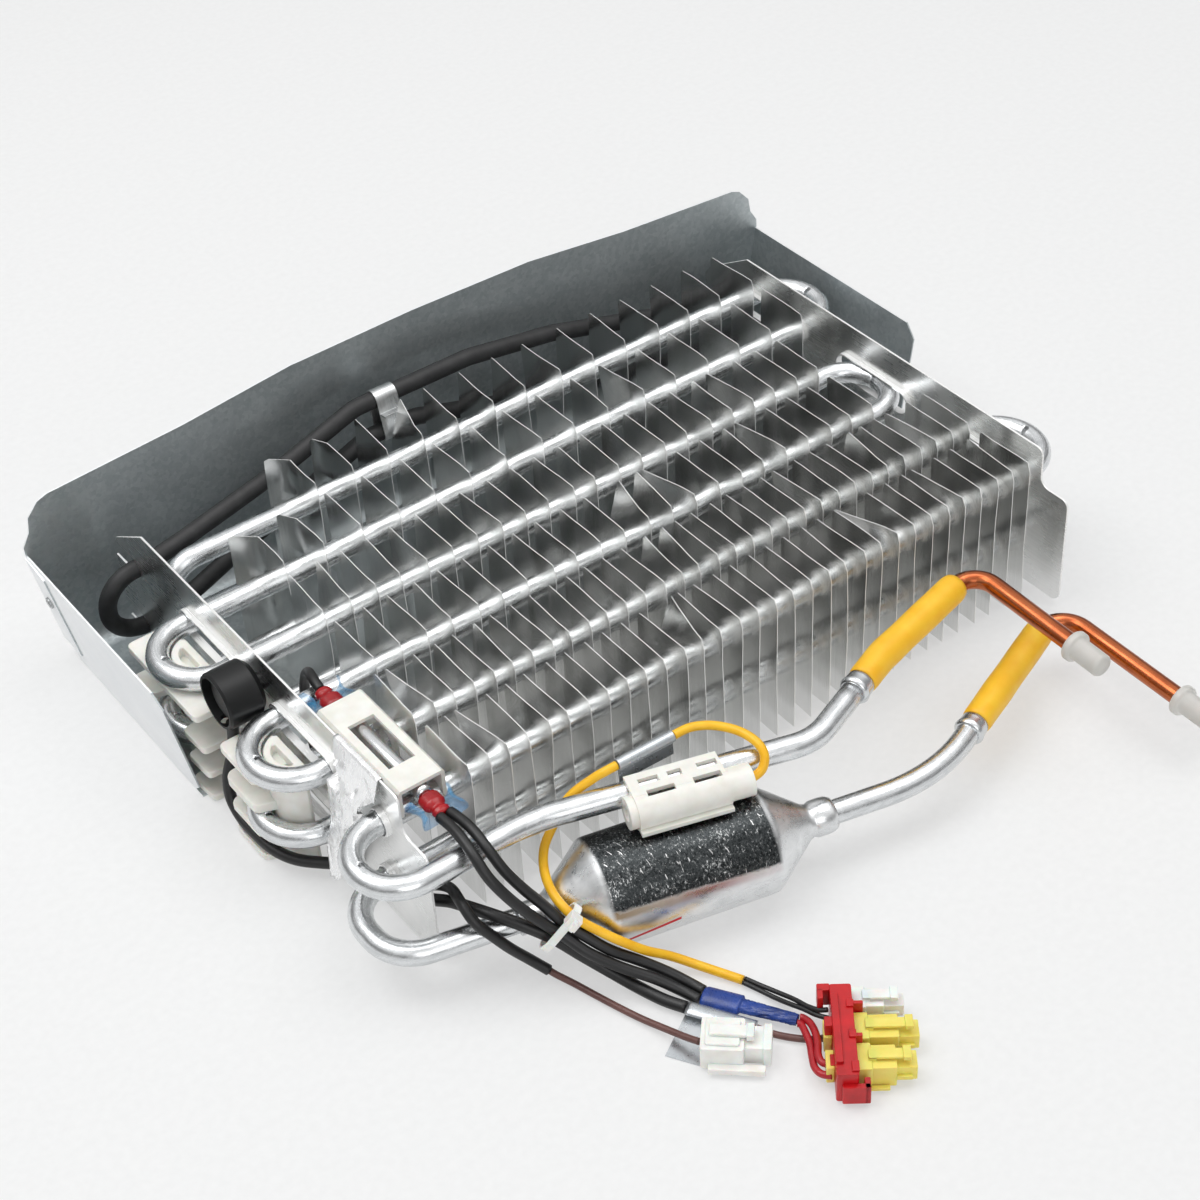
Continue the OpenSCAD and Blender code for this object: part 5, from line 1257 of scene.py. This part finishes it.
def dressed(node, edge):
    """A node's own solids as one piece, with its edges broken by a width in millimetres."""
    work = bmesh.new()
    work.from_mesh(frame["nodes"][node].data)
    bmesh.ops.remove_doubles(work, verts=work.verts, dist=1e-6)
    if edge:
        bmesh.ops.dissolve_limit(work, angle_limit=math.radians(1.0), verts=work.verts, edges=work.edges)
    smooth_turns(work, 32)
    obj = put_on(as_object(node + "_dressed", work), node)
    if edge:
        soften(obj, edge)
    return obj


EDGES = {
    "tray": 0.12, "tray_rivets": 0.2, "end_plate_left": 0.15, "end_plate_right": 0.15,
    "heater_end_seals": 0.4, "heater_strap": 0.1, "defrost_switch_boot": 0.5, "defrost_switch": 0.3,
    "fuse_bracket": 0.35, "sensor_holder": 0.3, "sensor_probe": 0.0, "sensor_label_sleeve": 0.2,
    "sensor_label": 0.0, "switch_label": 0.0}
carried = {part: dressed(part, edge) for part, edge in EDGES.items()}

# Seven of the leads' paths are looked up again, and nothing is kept from them.
declare(loop)
declare(run)
declare(switch)
declare(far)
declare(brown_2)
declare(near_1)
declare(near_2)


def foil_flap():
    """Foil tape over the plate's top edge: a crumpled flap outside, and a short turn-over inside."""
    top = 60.6
    low, high = -151, -126
    slope = math.radians(11)
    points, edges = divided([
        (low, 0.1), (high, 0.1), (high + 0.4, -16), (high - 1, -28), (high - 1.2, -42), (high - 5, -51),
        (high - 10, -49), (low + 7.4, -30), (low + 7, -14), (low, -8)], 1.2)
    border = list(range(len(points)))
    for iy in range(24):
        for iz in range(48):
            points.append(Vector((low + 0.6 + iy * 1.1 + 0.3 * (iz % 2), -0.6 - iz * 1.08)))
    flat, _, faces, *_ = delaunay_2d_cdt(points, edges, [border], 1, 1e-4)
    folds = []
    for n in range(22):
        heart = Vector((low + 1 + 23 * (0.5 + noise.noise(Vector((n * 3.7, 1, 2)))), -2 - 47 * n / 21))
        lean = Vector((noise.noise(Vector((n * 5.1, 7, 1))), noise.noise(Vector((n * 4.3, 2, 8)))))
        folds.append((heart, 0.9 * lean.x, 0.8 * lean.y))
    work = bmesh.new()
    verts = []
    for p in flat:
        down = -p.y
        loose = min(1, down / 14)
        # Flat facets between ridges: each spot leans the way the nearest of a few scattered folds does.
        pull = min(range(len(folds)), key=lambda n: (p - folds[n][0]).length)
        heart, lean_y, lean_z = folds[pull]
        fold = 1.3 + (p.x - heart.x) * lean_y + (p.y - heart.y) * lean_z
        fine = noise.noise(Vector((p.x * 0.5, p.y * 0.4, 5))) * 0.18
        curl = 0.9 * max(0, down - 38) ** 2 / 60
        x = -0.45 - down * math.sin(slope) - loose * (fold + fine) - curl * 0.3
        verts.append(work.verts.new(place((min(x, -0.4), p.x, top + p.y * math.cos(slope)))))
    for f in faces:
        work.faces.new([verts[i] for i in f])
    # The turn-over: across the plate's edge and down its inner face.
    cross = [(-0.45, 0.1), (-0.2, 0.3), (0.5, 0.42), (1.2, 0.3), (1.42, 0.0), (1.45, -3), (1.5, -8)]
    grid = []
    for n in range(26):
        y = low + (high - low) * n / 25
        grid.append([work.verts.new(place((
            x + 0.12 * noise.noise(Vector((y * 0.6, k * 0.9, 2))), y,
            top + z + 0.1 * noise.noise(Vector((y * 0.5, k * 0.8, 9)))))) for k, (x, z) in enumerate(cross)])
    for a, b in zip(grid, grid[1:]):
        for k in range(len(cross) - 1):
            work.faces.new([a[k], b[k], b[k + 1], a[k + 1]])
    obj = as_object("foil_flap", work, 24)
    thick = obj.modifiers.new("foil_thickness", "SOLIDIFY")
    thick.thickness = 0.00012
    thick.offset = 0
    put_on(obj, "foil_tape")


foil_flap()


# Floor, light and the white room

def seen_directly(tree):
    """1 for the camera, a reflection and a look through something clear, 0 for light, and whether it is
    a reflection."""
    seen = add(tree, "ShaderNodeLightPath").outputs
    direct = add(tree, MATH, {0: seen["Is Camera Ray"], 1: seen["Is Glossy Ray"]}, operation="MAXIMUM")
    direct = add(tree, MATH, {0: direct, 1: seen["Is Transmission Ray"]}, operation="MAXIMUM")
    return direct, seen["Is Glossy Ray"]


def floor_and_light():
    # Matt white paper. The camera and reflections see it lifted to near white, and the object's soft
    # shadow stays on it.
    made = bpy.data.materials.new("white_paper_floor")
    tree = emptied(made)
    fibre = add(tree, NOISE, {"Vector": positions(tree, (3, 3, 3)), "Scale": 1.0, "Detail": 3.0})
    tone = add(tree, RAMP, {"Fac": fibre}, ((0.3, "#e5e6e6"), (0.7, "#ebecec")))
    paper = add(tree, "ShaderNodeBsdfDiffuse", {"Color": tone})
    glow = add(tree, "ShaderNodeEmission", {"Color": srgb("#ffffff"), "Strength": 0.93})
    direct, _ = seen_directly(tree)
    part = add(tree, MATH, {0: direct, 1: 0.5}, operation="MULTIPLY")
    mixed = add(tree, "ShaderNodeMixShader", {0: part, 1: paper, 2: glow})
    add(tree, "ShaderNodeOutputMaterial", {"Surface": mixed})
    reach, level = 6, -0.0002
    mesh = bpy.data.meshes.new("studio_floor")
    mesh.from_pydata([(-reach, -reach, level), (reach, -reach, level), (reach, reach, level),
                      (-reach, reach, level)], [], [(0, 1, 2, 3)])
    mesh.materials.append(made)
    link(bpy.data.objects.new("studio_floor", mesh))

    world = bpy.data.worlds.new("studio_room")
    tree = emptied(world)
    direct, glossy = seen_directly(tree)
    # Metal sees a white ceiling and dim walls, as in a studio, so that round tubes keep dark streaks.
    way = add(tree, "ShaderNodeTexCoord").outputs["Generated"]
    high = add(tree, "ShaderNodeSeparateXYZ", {"Vector": way}).outputs["Z"]
    room = add(tree, RAMP, {"Fac": high}, ((0.0, 0.5), (0.12, 0.3), (0.4, 0.42), (0.62, 1.0)))
    tone = add(tree, MIX, {"Factor": glossy, "A": srgb("#ffffff"), "B": room}, data_type="RGBA")
    strength = add(tree, RANGE, {"Value": direct, "To Min": 0.45, "To Max": 0.96})
    back = add(tree, "ShaderNodeBackground", {"Color": tone, "Strength": strength})
    add(tree, "ShaderNodeOutputWorld", {"Surface": back})
    scene.world = world

    # Three square softboxes: where each stands and what it faces, in metres, its side and its watts.
    for name, spot, target, wide, power in (
            ("key_softbox", (-0.5, 0.35, 1.3), (0, 0, 0), 0.9, 9.0),
            ("top_softbox", (0.5, -0.1, 1.5), (0, 0, 0), 1.0, 7.0),
            ("front_fill", (-0.5, -1.3, 0.7), (0, 0, 0.03), 0.8, 3.5)):
        light = bpy.data.lights.new(name, "AREA")
        light.shape = "SQUARE"
        light.size = wide
        light.energy = power
        lamp = link(bpy.data.objects.new(name, light))
        way = Vector(target) - Vector(spot)
        lamp.matrix_world = Matrix.Translation(spot) @ way.to_track_quat("-Z", "Y").to_matrix().to_4x4()


floor_and_light()
scene.view_settings.view_transform = "Standard"
